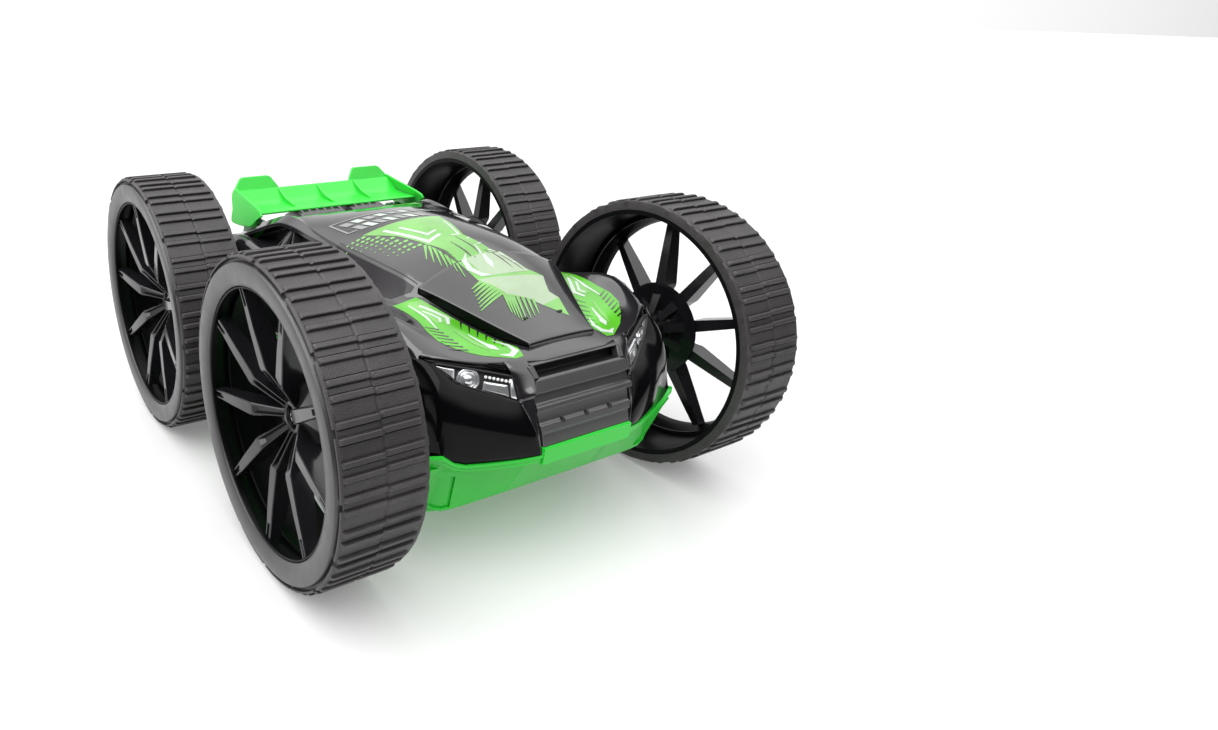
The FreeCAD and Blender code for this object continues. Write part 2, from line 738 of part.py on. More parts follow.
def make_wing(outer):
    """Green wing: scooped blade, end plates that stand on the shell, two rear fins."""
    body = new_body("rear_wing_body")
    span = size("wing_half_span")
    blade = profile(body, "wing_blade_section", WING_BLADE, "YZ_Plane")
    pad(body, "wing_blade", blade, span * 2.0, both_ways=True)
    for number, x in enumerate((-span.value, span.value)):
        outline = profile(body, f"wing_plate_outline{number}", WING_PLATE, "YZ_Plane", x)
        pad(body, f"wing_plate{number}", outline, plate_thickness, both_ways=True)
    for number, x in enumerate(WING_RIB_X):
        outline = profile(body, f"wing_rib_outline{number}", WING_RIB, "YZ_Plane", x)
        pad(body, f"wing_rib{number}", outline, 1.2, both_ways=True)
    for number, side in enumerate((-1, 1)):
        fin = [(side * x, z) for x, z in WING_FIN]
        outline = profile(body, f"wing_fin_outline{number}", fin, "XZ_Plane", -103.0)
        pad(body, f"wing_fin{number}", outline, 1.6, both_ways=True)
    for number, x in enumerate((-WING_SCREW_X, WING_SCREW_X)):
        outline = profile(body, f"wing_foot_outline{number}", WING_FOOT, "YZ_Plane", x)
        pad(body, f"wing_foot{number}", outline, 8.0, both_ways=True)
    seat_tools = [solid("wing_seat", outer)]
    for name, side in SIDES:
        start = (side * WING_SCREW_X, WING_SCREW_Y, WING_SCREW_Z - WING_SCREW_LENGTH - 1.0)
        seat_tools.append(cylinder("wing_hole_" + name, 1.2, WING_SCREW_LENGTH + 2.0, start))
    return keep("rear_wing", cut("rear_wing_seated", body, seat_tools))


# ------------------------------------------------------------ axle housings


HOUSING_INNER_X = 57.0
HOUSING_OUTER_X = 86.0
BUSH_LENGTH = 6.0


def make_housings():
    """Black tapered arms that carry the axles out to the wheel hubs."""
    bushes = []
    for end_name, end in ENDS:
        for side_name, side in SIDES:
            name = f"axle_housing_{end_name}_{side_name}"
            y = end * WHEELBASE_HALF
            turn = Rotation(Vector(0, 1, 0), 90 * side)
            start = (side * HOUSING_INNER_X, y, AXLE_HEIGHT)
            flange = cylinder(name + "_flange", housing_radius + 3.0, 5.0, start, turn)
            arm_length = HOUSING_OUTER_X - HOUSING_INNER_X
            arm = cone(name + "_arm", housing_radius + 1.5, housing_radius, arm_length, start, turn)
            seat_start = (side * (HOUSING_OUTER_X - BUSH_LENGTH), y, AXLE_HEIGHT)
            seat = cylinder(name + "_seat", bush_radius, BUSH_LENGTH + 1.0, seat_start, turn)
            bore = cylinder(name + "_bore", axle_radius + 1.0, 40.0, (side * 50.0, y, AXLE_HEIGHT), turn)
            joined = fuse(name + "_joined", [flange, arm])
            keep(name, cut(name + "_bored", joined, [seat, bore]))
            sleeve = cylinder(name + "_sleeve", bush_radius, BUSH_LENGTH, seat_start, turn)
            hole = cylinder(name + "_hole", axle_radius + running_gap, BUSH_LENGTH + 2.0,
                            (side * (HOUSING_OUTER_X - BUSH_LENGTH - 1.0), y, AXLE_HEIGHT), turn)
            bushes.append(cut(name + "_bush", sleeve, [hole]))
    keep("axle_bushes", group("axle_bush_set", bushes))


def make_front_carrier():
    """Cross member on two legs that holds the front axles' inner ends."""
    y = -WHEELBASE_HALF
    beam = box("front_beam", (-56.8, y - 7.0, 58.0), (56.8, y + 7.0, 72.0))
    legs = [box(f"front_leg_{name}", (min(side * 20.0, side * 28.0), y - 6.0, BELLY + WALL),
                (max(side * 20.0, side * 28.0), y + 6.0, 60.0)) for name, side in SIDES]
    bores = []
    for name, side in SIDES:
        bores.append(cylinder(f"front_beam_bore_{name}", axle_radius + running_gap, 10.0,
                              (side * 48.0, y, AXLE_HEIGHT), Rotation(Vector(0, 1, 0), 90 * side)))
    carrier = fuse("front_carrier_joined", [beam] + legs)
    keep("front_carrier", cut("front_carrier_bored", carrier, bores))


# -------------------------------------------------------------------- gears

PRESSURE_ANGLE = math.radians(20.0)
ADDENDUM = 0.8
DEDENDUM = 1.05
BACKLASH = 0.16
FLANK_POINTS = 5


def involute(angle):
    return math.tan(angle) - angle


def gear_shape(teeth, width, bore, phase):
    """A spur gear about Z with an involute outline; phase turns one tooth to that angle."""
    module = sheet.get("gear_module")
    pitch = teeth * module / 2.0
    base = pitch * math.cos(PRESSURE_ANGLE)
    tip = pitch + ADDENDUM * module
    root = pitch - DEDENDUM * module
    half_tooth = math.pi / (2 * teeth) - BACKLASH / (4 * pitch)
    start = max(base, root + 0.05)
    outline = []
    for tooth in range(teeth):
        centre = math.radians(phase) + tooth * 2 * math.pi / teeth
        flank = []
        for step in range(FLANK_POINTS):
            radius = start + (tip - start) * step / (FLANK_POINTS - 1)
            roll = math.acos(min(1.0, base / radius))
            flank.append((radius, half_tooth + involute(PRESSURE_ANGLE) - involute(roll)))
        rising = [(root, flank[0][1])] + flank
        for radius, offset in rising:
            outline.append((radius, centre - offset))
        for radius, offset in reversed(rising):
            outline.append((radius, centre + offset))
    points = [Vector(r * math.cos(a), r * math.sin(a), 0) for r, a in outline]
    blank = Part.Face(Part.makePolygon(points + [points[0]])).extrude(Vector(0, 0, width))
    return blank.cut(Part.makeCylinder(bore, width + 2, Vector(0, 0, -1)))


def along_x(shape, start_x, y, z):
    """Turn a shape drawn about Z so that its axis runs along X, local X towards +Y."""
    turned = shape.copy()
    turned.Placement = Placement(Vector(start_x, y, z), Rotation(Vector(1, 1, 1), 120))
    return turned


MODULE = sheet.get("gear_module")
AXLE_TEETH = int(sheet.get("axle_teeth"))
SMALL_TEETH = int(sheet.get("small_teeth"))
BIG_TEETH = int(sheet.get("big_teeth"))
PINION_TEETH = int(sheet.get("pinion_teeth"))
COMPOUND_ANGLE = 200.0
MOTOR_ANGLE = 165.0
COMPOUND_DISTANCE = MODULE * (AXLE_TEETH + SMALL_TEETH) / 2.0
MOTOR_DISTANCE = MODULE * (BIG_TEETH + PINION_TEETH) / 2.0
COMPOUND_Y = WHEELBASE_HALF + COMPOUND_DISTANCE * math.cos(math.radians(COMPOUND_ANGLE))
COMPOUND_Z = AXLE_HEIGHT + COMPOUND_DISTANCE * math.sin(math.radians(COMPOUND_ANGLE))
MOTOR_Y = COMPOUND_Y + MOTOR_DISTANCE * math.cos(math.radians(MOTOR_ANGLE))
MOTOR_Z = COMPOUND_Z + MOTOR_DISTANCE * math.sin(math.radians(MOTOR_ANGLE))

PINION_X = 34.0
PINION_WIDTH = 5.0
BIG_WIDTH = 4.0
SMALL_X = 39.0
SMALL_WIDTH = 6.0
AXLE_GEAR_WIDTH = 5.0
MOTOR_LENGTH = 25.0
MOTOR_RADIUS = 10.0
MOTOR_SHAFT_RADIUS = 1.0
CASE_INNER_X = 31.0
CASE_OUTER_X = 48.0
CASE_WALL = 1.5


def at_side(side, start_x, length):
    """Lower X of a stretch that starts start_x out from the middle on one side."""
    return start_x if side > 0 else -start_x - length


def make_gears():
    """Motor pinion, compound gear and axle gear of each side, in mesh at rest."""
    for name, side in SIDES:
        # axle gear: one tooth on the line to the compound gear
        wheel = gear_shape(AXLE_TEETH, AXLE_GEAR_WIDTH, sheet.get("axle_radius"), COMPOUND_ANGLE)
        wheel = along_x(wheel, at_side(side, SMALL_X + 0.5, AXLE_GEAR_WIDTH), WHEELBASE_HALF, AXLE_HEIGHT)
        keep("axle_gear_" + name, solid(f"axle_gear_{name}_spur", wheel))
        # compound gear: small gear has a gap there, big gear a tooth on the line to the motor
        bore = sheet.get("pin_radius") + sheet.get("running_gap")
        small_phase = COMPOUND_ANGLE + 180.0 + 180.0 / SMALL_TEETH
        small = gear_shape(SMALL_TEETH, SMALL_WIDTH, bore, small_phase)
        big = gear_shape(BIG_TEETH, BIG_WIDTH, bore, MOTOR_ANGLE)
        small = along_x(small, at_side(side, SMALL_X - 0.2, SMALL_WIDTH), COMPOUND_Y, COMPOUND_Z)
        big = along_x(big, at_side(side, PINION_X + 0.8, BIG_WIDTH), COMPOUND_Y, COMPOUND_Z)
        compound = small.fuse(big)
        keep("compound_gear_" + name, solid(f"compound_gear_{name}_pair", compound))
        # pinion: a gap on the same line
        pinion_phase = MOTOR_ANGLE + 180.0 + 180.0 / PINION_TEETH
        pinion = gear_shape(PINION_TEETH, PINION_WIDTH, MOTOR_SHAFT_RADIUS, pinion_phase)
        pinion = along_x(pinion, at_side(side, PINION_X, PINION_WIDTH), MOTOR_Y, MOTOR_Z)
        keep("motor_pinion_" + name, solid(f"motor_pinion_{name}_spur", pinion))
        # idler pin
        pin_length = CASE_OUTER_X - CASE_INNER_X - 0.4
        pin = cylinder(f"idler_pin_{name}_rod", pin_radius, pin_length,
                       (at_side(side, CASE_INNER_X + 0.2, pin_length), COMPOUND_Y, COMPOUND_Z), ALONG_X)
        keep("idler_pin_" + name, pin)


def make_motors():
    """Small can motor of each side: hollow can, rotor with its shaft."""
    for name, side in SIDES:
        body = new_body(f"motor_can_{name}_body")
        inner = MOTOR_RADIUS - 0.8
        boss = MOTOR_SHAFT_RADIUS + 0.05
        outline = [
            (boss, 0), (3.0, 0), (3.0, 1.4), (MOTOR_RADIUS - 1.0, 1.4), (MOTOR_RADIUS, 2.4),
            (MOTOR_RADIUS, MOTOR_LENGTH), (boss, MOTOR_LENGTH), (boss, MOTOR_LENGTH - 1.0),
            (inner, MOTOR_LENGTH - 1.0), (inner, 2.4), (boss, 2.4),
        ]
        revolve(body, f"motor_can_{name}_shell", profile(body, f"motor_can_{name}_outline", outline))
        body.Placement = Placement(Vector(side * (CASE_INNER_X - 0.1), MOTOR_Y, MOTOR_Z),
                                   Rotation(Vector(0, 1, 0), -90 * side))
        keep("motor_can_" + name, body)
        rotor = new_body(f"motor_rotor_{name}_body")
        shaft = MOTOR_SHAFT_RADIUS
        outline = [
            (0, 0), (shaft, 0), (shaft, 11.5), (3.0, 11.5), (3.0, 13.5), (shaft, 13.5), (shaft, 15.0),
            (7.6, 15.0), (7.6, 26.0), (3.2, 26.0), (3.2, 28.5), (shaft, 28.5), (shaft, 33.5), (0, 33.5),
        ]
        revolve(rotor, f"motor_rotor_{name}_turned", profile(rotor, f"motor_rotor_{name}_outline", outline))
        rotor.Placement = Placement(Vector(side * (PINION_X + PINION_WIDTH), MOTOR_Y, MOTOR_Z),
                                    Rotation(Vector(0, 1, 0), -90 * side))
        keep("motor_rotor_" + name, rotor)


def make_gearboxes():
    """Closed case round each side's gears, standing on the tub's floor."""
    low_y = MOTOR_Y - 8.0
    high_y = WHEELBASE_HALF + 18.5
    low_z = BELLY + WALL
    high_z = AXLE_HEIGHT + 18.0
    for name, side in SIDES:
        start = at_side(side, CASE_INNER_X, CASE_OUTER_X - CASE_INNER_X)
        end = start + CASE_OUTER_X - CASE_INNER_X
        outer = box(f"gearbox_{name}_outer", (start, low_y, low_z), (end, high_y, high_z))
        space_low = (start + CASE_WALL, low_y + CASE_WALL, low_z + CASE_WALL + 5.0)
        space_high = (end - CASE_WALL, high_y - CASE_WALL, high_z - CASE_WALL)
        space = box(f"gearbox_{name}_space", space_low, space_high)
        axle_hole = cylinder(f"gearbox_{name}_axle_hole", axle_radius + running_gap, 40.0,
                             (at_side(side, 25.0, 40.0), WHEELBASE_HALF, AXLE_HEIGHT), ALONG_X)
        shaft_hole = cylinder(f"gearbox_{name}_shaft_hole", 1.2, 10.0,
                              (at_side(side, 25.0, 10.0), MOTOR_Y, MOTOR_Z), ALONG_X)
        pin_hole = cylinder(f"gearbox_{name}_pin_hole", pin_radius, CASE_OUTER_X - CASE_INNER_X - 0.4,
                            (at_side(side, CASE_INNER_X + 0.2, CASE_OUTER_X - CASE_INNER_X - 0.4),
                             COMPOUND_Y, COMPOUND_Z), ALONG_X)
        case = cut(f"gearbox_{name}_case", outer, [space, axle_hole, shaft_hole, pin_hole])
        keep("gearbox_case_" + name, case)


# ------------------------------------------------ battery, switch and electronics

CELL_PITCH = 15.0
CELL_COUNT = 4
DOOR_GRIP_COUNT = 4


def make_battery():
    """Door that hinges on its round front edge, its screw, four cells and their contacts."""
    door_x = size("door_half_width")
    door_y = sheet.get("door_half_length")
    plate = box("battery_door_plate", (-door_x, DOOR_HINGE_Y, BELLY),
                (door_x, COMPARTMENT_Y + door_y, BELLY + DOOR_THICKNESS))
    edge = cylinder("battery_door_edge", DOOR_THICKNESS / 2.0, door_x * 2.0,
                    (-door_x.value, DOOR_HINGE_Y, DOOR_HINGE_Z), ALONG_X)
    pin_length = 2.0 * (door_x.value + DOOR_PIN_REACH)
    pin = cylinder("battery_door_pin", DOOR_PIN_RADIUS, pin_length,
                   (-pin_length / 2.0, DOOR_HINGE_Y, DOOR_HINGE_Z), ALONG_X)
    grips = []
    for number in range(DOOR_GRIP_COUNT):
        grip_y = COMPARTMENT_Y - door_y + 8.0 + 3.0 * number
        grips.append(box(f"battery_door_grip{number}", (-12.0, grip_y, BELLY - 0.1),
                         (12.0, grip_y + 1.4, BELLY + 0.6)))
    screw_y = COMPARTMENT_Y + door_y - 3.0
    hole = cylinder("battery_door_hole", 1.3, 4.0, (0, screw_y, BELLY - 1))
    blank = fuse("battery_door_blank", [plate, edge, pin])
    keep("battery_door", cut("battery_door_cover", blank, grips + [hole]))
    turn = Rotation(Vector(1, 0, 0), 180)
    place = Placement(Vector(0, screw_y, BELLY), turn)
    keep("battery_door_screw", make_screw("battery_door_screw", place, 2.6, 1.4, 1.1, 1.7))
    cells = []
    contacts = []
    cell_length = sheet.get("cell_length")
    tip_length = 1.2
    start_y = COMPARTMENT_Y - cell_length / 2.0
    for number in range(CELL_COUNT):
        x = (number - (CELL_COUNT - 1) / 2.0) * CELL_PITCH
        z = BELLY + 10.2
        can = cylinder(f"cell{number}_can", size("cell_radius"), size("cell_length") - tip_length,
                       (x, start_y, z), ALONG_Y)
        tip_y = start_y + cell_length - tip_length
        tip = cylinder(f"cell{number}_tip", 2.6, tip_length, (x, tip_y, z), ALONG_Y)
        cells.append(fuse(f"cell{number}", [can, tip]))
        for end, y in (("back", start_y + cell_length + 0.2), ("fore", start_y - 0.9)):
            contacts.append(box(f"contact_{end}{number}", (x - 4.5, y, z - 4.5),
                                (x + 4.5, y + 0.6, z + 4.5)))
    keep("battery_cells", group("battery_cell_set", cells))
    keep("battery_contacts", group("battery_contact_set", contacts))


def make_electronics():
    board_z = BELLY + 25.0
    board = box("board_plate", (-26.0, -36.0, board_z), (26.0, 14.0, board_z + 1.6))
    holes = [cylinder(f"board_hole{i}{j}", 1.3, 4.0, (x, y, board_z - 1.0))
             for i, x in enumerate((-22.0, 22.0)) for j, y in enumerate((-32.0, 10.0))]
    keep("circuit_board", cut("circuit_board_drilled", board, holes))
    top = board_z + 1.6
    parts = [
        box("chip_radio", (-18.0, -26.0, top), (-8.0, -20.0, top + 1.8)),
        box("chip_driver_left", (4.0, -8.0, top), (14.0, -2.0, top + 1.8)),
        box("chip_driver_right", (-14.0, -8.0, top), (-4.0, -2.0, top + 1.8)),
        box("crystal", (0.0, -24.0, top), (8.0, -21.0, top + 3.6)),
        cylinder("capacitor", 4.0, 11.0, (17.0, -24.0, top)),
        cylinder("coil", 3.0, 5.0, (-22.0, -10.0, top)),
    ]
    keep("board_parts", group("board_part_set", parts))
    posts = [cylinder(f"board_post{i}{j}", 2.6, board_z - BELLY - 21.0, (x, y, BELLY + 21.0))
             for i, x in enumerate((-22.0, 22.0)) for j, y in enumerate((-32.0, 10.0))]
    keep("board_standoffs", group("board_standoff_set", posts))


def make_switch():
    """Slide switch over a slot in the tub's floor."""
    floor = BELLY + WALL
    outer = box("switch_outer", (-8.0, SWITCH_Y - 4.0, floor), (8.0, SWITCH_Y + 4.0, floor + 7.0))
    space = box("switch_space", (-5.6, SWITCH_Y - 2.6, floor - 1.0), (5.6, SWITCH_Y + 2.6, floor + 5.6))
    keep("power_switch_body", cut("power_switch_case", outer, [space]))
    slider = box("switch_slider", (-5.0, SWITCH_Y - 2.3, floor + 0.3), (1.0, SWITCH_Y + 2.3, floor + 5.0))
    thumb = box("switch_thumb", (-4.4, SWITCH_Y - 1.6, BELLY - 1.2), (0.4, SWITCH_Y + 1.6, floor + 1.0))
    keep("power_switch_knob", fuse("power_switch_slide", [slider, thumb]))


def make_fasteners():
    screws = []
    for number, (x, y) in enumerate(SCREW_POSTS):
        for name, side in SIDES:
            place = Placement(Vector(side * x, y, BELLY + 3.0), Rotation(Vector(1, 0, 0), 180))
            screws.append(make_screw(f"shell_screw{number}_{name}", place, 3.0, 1.8, 1.4, 31.0))
    keep("shell_screws", group("shell_screw_set", screws))
    wing_screws = []
    for name, side in SIDES:
        place = Placement(Vector(side * WING_SCREW_X, WING_SCREW_Y, WING_SCREW_Z), Rotation())
        wing_screws.append(make_screw(f"wing_screw_{name}", place, 2.4, 1.3, 1.0, WING_SCREW_LENGTH))
    keep("wing_screws", group("wing_screw_set", wing_screws))


# ---------------------------------------------------------------------- build

make_wheels()
shell_envelope = make_casing()
make_inserts(shell_envelope)
make_rear_deck(shell_envelope)
make_wing(shell_envelope)
make_housings()
make_front_carrier()
make_gears()
make_motors()
make_gearboxes()
make_battery()
make_electronics()
make_switch()
make_fasteners()
doc.recompute()

failures = [item.Name for item in doc.Objects if {"Invalid", "Error"} & set(item.State)]
for label, item in nodes.items():
    if item.Shape.isNull() or not item.Shape.isValid():
        failures.append(label)
if failures:
    raise RuntimeError("failed objects: " + ", ".join(failures))

os.makedirs("parts", exist_ok=True)
for label, item in nodes.items():
    item.Shape.exportStep(f"parts/{label}.step")
    print(label, len(item.Shape.Solids), round(item.Shape.Volume, 1))
print(len(nodes), "sub-parts")
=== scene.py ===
"""Looks of the stunt car: wheels, body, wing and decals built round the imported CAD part."""

import math
import random

import bmesh
import bpy
from mathutils import Matrix, Vector
from mathutils.bvhtree import BVHTree


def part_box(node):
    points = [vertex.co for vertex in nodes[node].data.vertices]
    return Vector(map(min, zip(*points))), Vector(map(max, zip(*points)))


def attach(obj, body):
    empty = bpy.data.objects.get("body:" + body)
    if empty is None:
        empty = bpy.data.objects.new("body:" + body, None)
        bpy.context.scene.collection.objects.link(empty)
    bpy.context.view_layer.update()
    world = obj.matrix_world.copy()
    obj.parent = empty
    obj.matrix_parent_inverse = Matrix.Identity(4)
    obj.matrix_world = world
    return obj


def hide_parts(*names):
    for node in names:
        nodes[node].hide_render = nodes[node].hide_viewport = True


MM = 0.001

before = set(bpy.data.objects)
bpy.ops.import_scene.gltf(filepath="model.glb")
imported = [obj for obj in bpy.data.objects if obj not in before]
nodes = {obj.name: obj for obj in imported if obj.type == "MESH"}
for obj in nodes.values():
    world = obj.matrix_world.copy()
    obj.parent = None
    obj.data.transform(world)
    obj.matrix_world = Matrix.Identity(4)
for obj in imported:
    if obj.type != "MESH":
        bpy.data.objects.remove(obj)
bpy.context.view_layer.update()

# every wheel corner: its name, the end's sign along y and the side's sign along x
CORNERS = [(f"{end_name}_{side_name}", end, side) for end_name, end in (("front", -1), ("rear", 1))
           for side_name, side in (("left", 1), ("right", -1))]

tyre_low, tyre_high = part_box("tyre_rear_left")
TYRE_RADIUS = (tyre_high.z - tyre_low.z) / 2 / MM
TREAD_HALF_WIDTH = 16.5
TRACK_HALF = tyre_low.x / MM + TREAD_HALF_WIDTH
WHEELBASE_HALF = (tyre_high.y + tyre_low.y) / 2 / MM
AXLE_HEIGHT = (tyre_high.z + tyre_low.z) / 2 / MM


# ---- materials

# sizes of the noises, in features per metre
MOTTLE_SCALE = 45
GLOSS_SCALE = 130
# the pointiness of an edge where wear starts and where it is full, and the share of wear there
WORN_EDGE = (0.53, 0.62)
WEAR_SHARE = 0.55


def set_inputs(node, **values):
    """Sets a node's inputs by their names, with underscores for spaces."""
    for socket, value in values.items():
        node.inputs[socket.replace("_", " ")].default_value = value
    return node


def add_node(tree, kind, **values):
    return set_inputs(tree.nodes.new("ShaderNode" + kind), **values)


def link(tree, source, output, target, socket):
    tree.links.new(source.outputs[output], target.inputs[socket])


def new_material(name):
    material = bpy.data.materials.new(name)
    material.use_nodes = True
    tree = material.node_tree
    return material, tree, tree.nodes["Principled BSDF"]


def noise(tree, scale, detail=4):
    """Noise in the piece's own coordinates."""
    texture = add_node(tree, "TexNoise", Scale=scale, Detail=detail)
    link(tree, add_node(tree, "TexCoord"), "Object", texture, "Vector")
    return texture


def ramp(tree, source, span, colours):
    """Maps a noise's values over a span to the change from one colour to another."""
    node = add_node(tree, "ValToRGB")
    for element, position, colour in zip(node.color_ramp.elements, span, colours):
        element.position = position
        element.color = (*colour, 1)
    link(tree, source, "Fac", node, "Fac")
    return node


def map_range(tree, source, output, span, values):
    """Maps a span of an output to the values between two ends."""
    node = add_node(tree, "MapRange", From_Min=span[0], From_Max=span[1], To_Min=values[0], To_Max=values[1])
    link(tree, source, output, node, "Value")
    return node


def tinted(colour, factor):
    return tuple(min(1.0, c * factor) for c in colour)


def finish(name, colour, roughness, vary=0.12, wear=1.5, grain=900, depth=0.02, metallic=0, spread=0.06,
           glow=0, ior=1.5):
    """A moulded or metal finish: mottled colour, uneven gloss, fine grain and paler worn edges."""
    material, tree, shader = new_material(name)
    shades = (tinted(colour, 1 - vary), tinted(colour, 1 + vary))
    base = ramp(tree, noise(tree, MOTTLE_SCALE), (0.35, 0.65), shades)
    edge = map_range(tree, add_node(tree, "NewGeometry"), "Pointiness", WORN_EDGE, (0, WEAR_SHARE))
    mix = add_node(tree, "Mix")
    mix.data_type = "RGBA"
    set_inputs(mix, B=(*tinted(colour, wear), 1))
    link(tree, edge, "Result", mix, "Factor")
    link(tree, base, "Color", mix, "A")
    link(tree, mix, "Result", shader, "Base Color")
    gloss = (roughness - spread / 2, roughness + spread / 2)
    rough = map_range(tree, noise(tree, GLOSS_SCALE), "Fac", (0.3, 0.7), gloss)
    link(tree, rough, "Result", shader, "Roughness")
    bump = add_node(tree, "Bump", Strength=depth, Distance=0.0005)
    link(tree, noise(tree, grain, 3), "Fac", bump, "Height")
    link(tree, bump, "Normal", shader, "Normal")
    set_inputs(shader, Metallic=metallic, IOR=ior, Subsurface_Weight=glow,
               Subsurface_Radius=(0.2, 1, 0.25), Subsurface_Scale=0.002)
    return material


RUBBER = finish("tread_rubber", (0.023, 0.020, 0.021), 0.5, vary=0.22, wear=2.2, grain=1500, depth=0.35,
                spread=0.14, ior=1.56)
SIDEWALL = finish("sidewall_rubber", (0.030, 0.028, 0.030), 0.36, wear=1.4, grain=1200, spread=0.1, ior=1.62,
                  depth=0.12)
RIM_BLACK = finish("rim_black", (0.006, 0.006, 0.007), 0.16, vary=0.15, wear=2.2, grain=500, depth=0.03)
# painted shade: a darker, duller copy of rim_black for the inside of the rim's barrel
SHADED_RIM_BLACK = finish("rim_black_painted_shade", (0.003, 0.003, 0.0035), 0.3, grain=500, depth=0.03, ior=1.17)
BODY_BLACK = finish("body_black", (0.013, 0.012, 0.014), 0.1, vary=0.1, wear=1.8, grain=260, depth=0.015,
                    spread=0.04, ior=1.74)
# painted shade: a darker, less glossy copy of body_black for the nose's cheeks, the lip under the hood's
# edge and the hood panel's sides
SHADED_BODY_BLACK = finish("body_black_painted_shade", (0.0025, 0.0025, 0.003), 0.12, vary=0.1, wear=1.6, grain=260, depth=0.01,
                    spread=0.04, ior=1.22)
GLASS_DARK = finish("window_dark", (0.010, 0.008, 0.010), 0.1, vary=0.1, wear=1.2, grain=200, depth=0.01,
                    spread=0.03, ior=1.38)
SATIN_GREY = finish("satin_grey", (0.034, 0.033, 0.034), 0.36, vary=0.1, wear=1.6, grain=1600, depth=0.1,
                    ior=1.75)
# dark plastic made darker still: painted shade in slots, hollows, the headlamp bowls and on the grille bolts
PAINTED_SHADE_BLACK = finish("painted_shade_black", (0.004, 0.004, 0.0045), 0.5, wear=1.6, depth=0.1)
GREEN = finish("green_plastic", (0.018, 0.52, 0.032), 0.32, vary=0.05, wear=1.15, grain=700, glow=0.05)
HOUSING_BLACK = finish("housing_black", (0.010, 0.010, 0.011), 0.3, wear=2, depth=0.06)
SILVER = finish("lamp_silver", (0.74, 0.75, 0.77), 0.2, vary=0.2, wear=1.3, metallic=0.85, depth=0.05)
LAMP_PALE = finish("lamp_pale", (0.78, 0.79, 0.80), 0.25, vary=0.06, wear=1.1, depth=0.03)
STEEL = finish("screw_steel", (0.34, 0.34, 0.35), 0.28, metallic=1, wear=1.3, depth=0.08)
BRASS = finish("brass", (0.62, 0.45, 0.18), 0.3, metallic=1, wear=1.2, depth=0.06)
CASE_GREY = finish("case_grey", (0.30, 0.31, 0.32), 0.42, wear=1.3, depth=0.1)
GEAR_WHITE = finish("gear_white", (0.74, 0.73, 0.66), 0.38, wear=1.1, depth=0.05)
CELL_BLUE = finish("cell_sleeve", (0.05, 0.14, 0.42), 0.25, wear=1.3)
BOARD_GREEN = finish("board_mask", (0.02, 0.13, 0.05), 0.35, wear=1.4, depth=0.05)
CHIP_BLACK = finish("chip_black", (0.02, 0.02, 0.02), 0.45, wear=1.6, depth=0.15)
DECAL_FINISHES = [
    finish("decal_" + name, colour, roughness, vary, wear=1.05, depth=0.01)
    for name, colour, roughness, vary in (
        ("lime", (0.14, 0.36, 0.08), 0.16, 0.12), ("green", (0.07, 0.34, 0.015), 0.16, 0.14),
        ("pale", (0.28, 0.37, 0.24), 0.16, 0.08), ("white", (0.42, 0.50, 0.43), 0.18, 0.05),
        ("grey", (0.22, 0.225, 0.225), 0.2, 0.1))
]


# ---- building meshes


def add_object(name, data):
    thing = bpy.data.objects.new(name, data)
    bpy.context.scene.collection.objects.link(thing)
    return thing


class Shape:
    """Collects the points in millimetres, the faces and the faces' finishes of one piece."""

    def __init__(self):
        self.points = []
        self.faces = []
        self.picks = []

    def add(self, points, faces, pick=0):
        start = len(self.points)
        self.points.extend(tuple(p) for p in points)
        self.faces.extend(tuple(start + i for i in face) for face in faces)
        self.picks.extend([pick] * len(faces))
        return self

    def grid(self, rows, pick=0, close_rows=False, close_columns=False, skip=lambda i, j: False):
        """Quads between rows of points of equal length, but for those that skip leaves open."""
        wide = len(rows[0])
        faces = []
        for i in range(len(rows) - (0 if close_rows else 1)):
            after = (i + 1) % len(rows)
            for j in range(wide - (0 if close_columns else 1)):
                beside = (j + 1) % wide
                if not skip(i, j):
                    faces.append((i * wide + j, i * wide + beside, after * wide + beside, after * wide + j))
        return self.add([p for row in rows for p in row], faces, pick)

    def loft(self, rings, pick=0):
        """A closed skin through rings of equal length, capped at both ends."""
        self.grid(rings, pick, close_columns=True)
        cap = range(len(rings[0]))
        self.add(rings[0], [tuple(cap)], pick)
        return self.add(rings[-1], [tuple(reversed(cap))], pick)

    def mirrored(self):
        """The same shape with its mirror image across the car's middle."""
        both = Shape()
        both.points = self.points + [(-x, y, z) for x, y, z in self.points]
        shift = len(self.points)
        both.faces = self.faces + [tuple(shift + i for i in reversed(face)) for face in self.faces]
        both.picks = self.picks * 2
        return both

    def build(self, name, *materials, sharp=32):
        """Makes the object, shaded smooth but for edges over the sharp angle."""
        mesh = bpy.data.meshes.new(name)
        mesh.from_pydata([Vector(p) * MM for p in self.points], [], self.faces)
        for material in materials:
            mesh.materials.append(material)
        for polygon, pick in zip(mesh.polygons, self.picks):
            polygon.material_index = pick
        shaped = bmesh.new()
        shaped.from_mesh(mesh)
        bmesh.ops.remove_doubles(shaped, verts=shaped.verts, dist=0.002 * MM)
        bmesh.ops.dissolve_degenerate(shaped, edges=shaped.edges, dist=0.002 * MM)
        bmesh.ops.recalc_face_normals(shaped, faces=shaped.faces)
        for face in shaped.faces:
            face.smooth = True
        for edge in shaped.edges:
            if len(edge.link_faces) == 2:
                edge.smooth = edge.calc_face_angle(0.0) < math.radians(sharp)
        shaped.to_mesh(mesh)
        shaped.free()
        return add_object(name, mesh)


def rounded(thing, width, segments=2, angle=35):
    """Rounds a piece's hard edges."""
    bevel = thing.modifiers.new("edge_rounding", "BEVEL")
    bevel.width = width * MM
    bevel.segments = segments
    bevel.limit_method = "ANGLE"
    bevel.angle_limit = math.radians(angle)


def place(thing, body, slot, *replaced):
    """Says which body the piece rides on and the CAD nodes that it stands for; the finish slot is not used.
    """
    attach(thing, body)
    if replaced:
        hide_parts(*replaced)


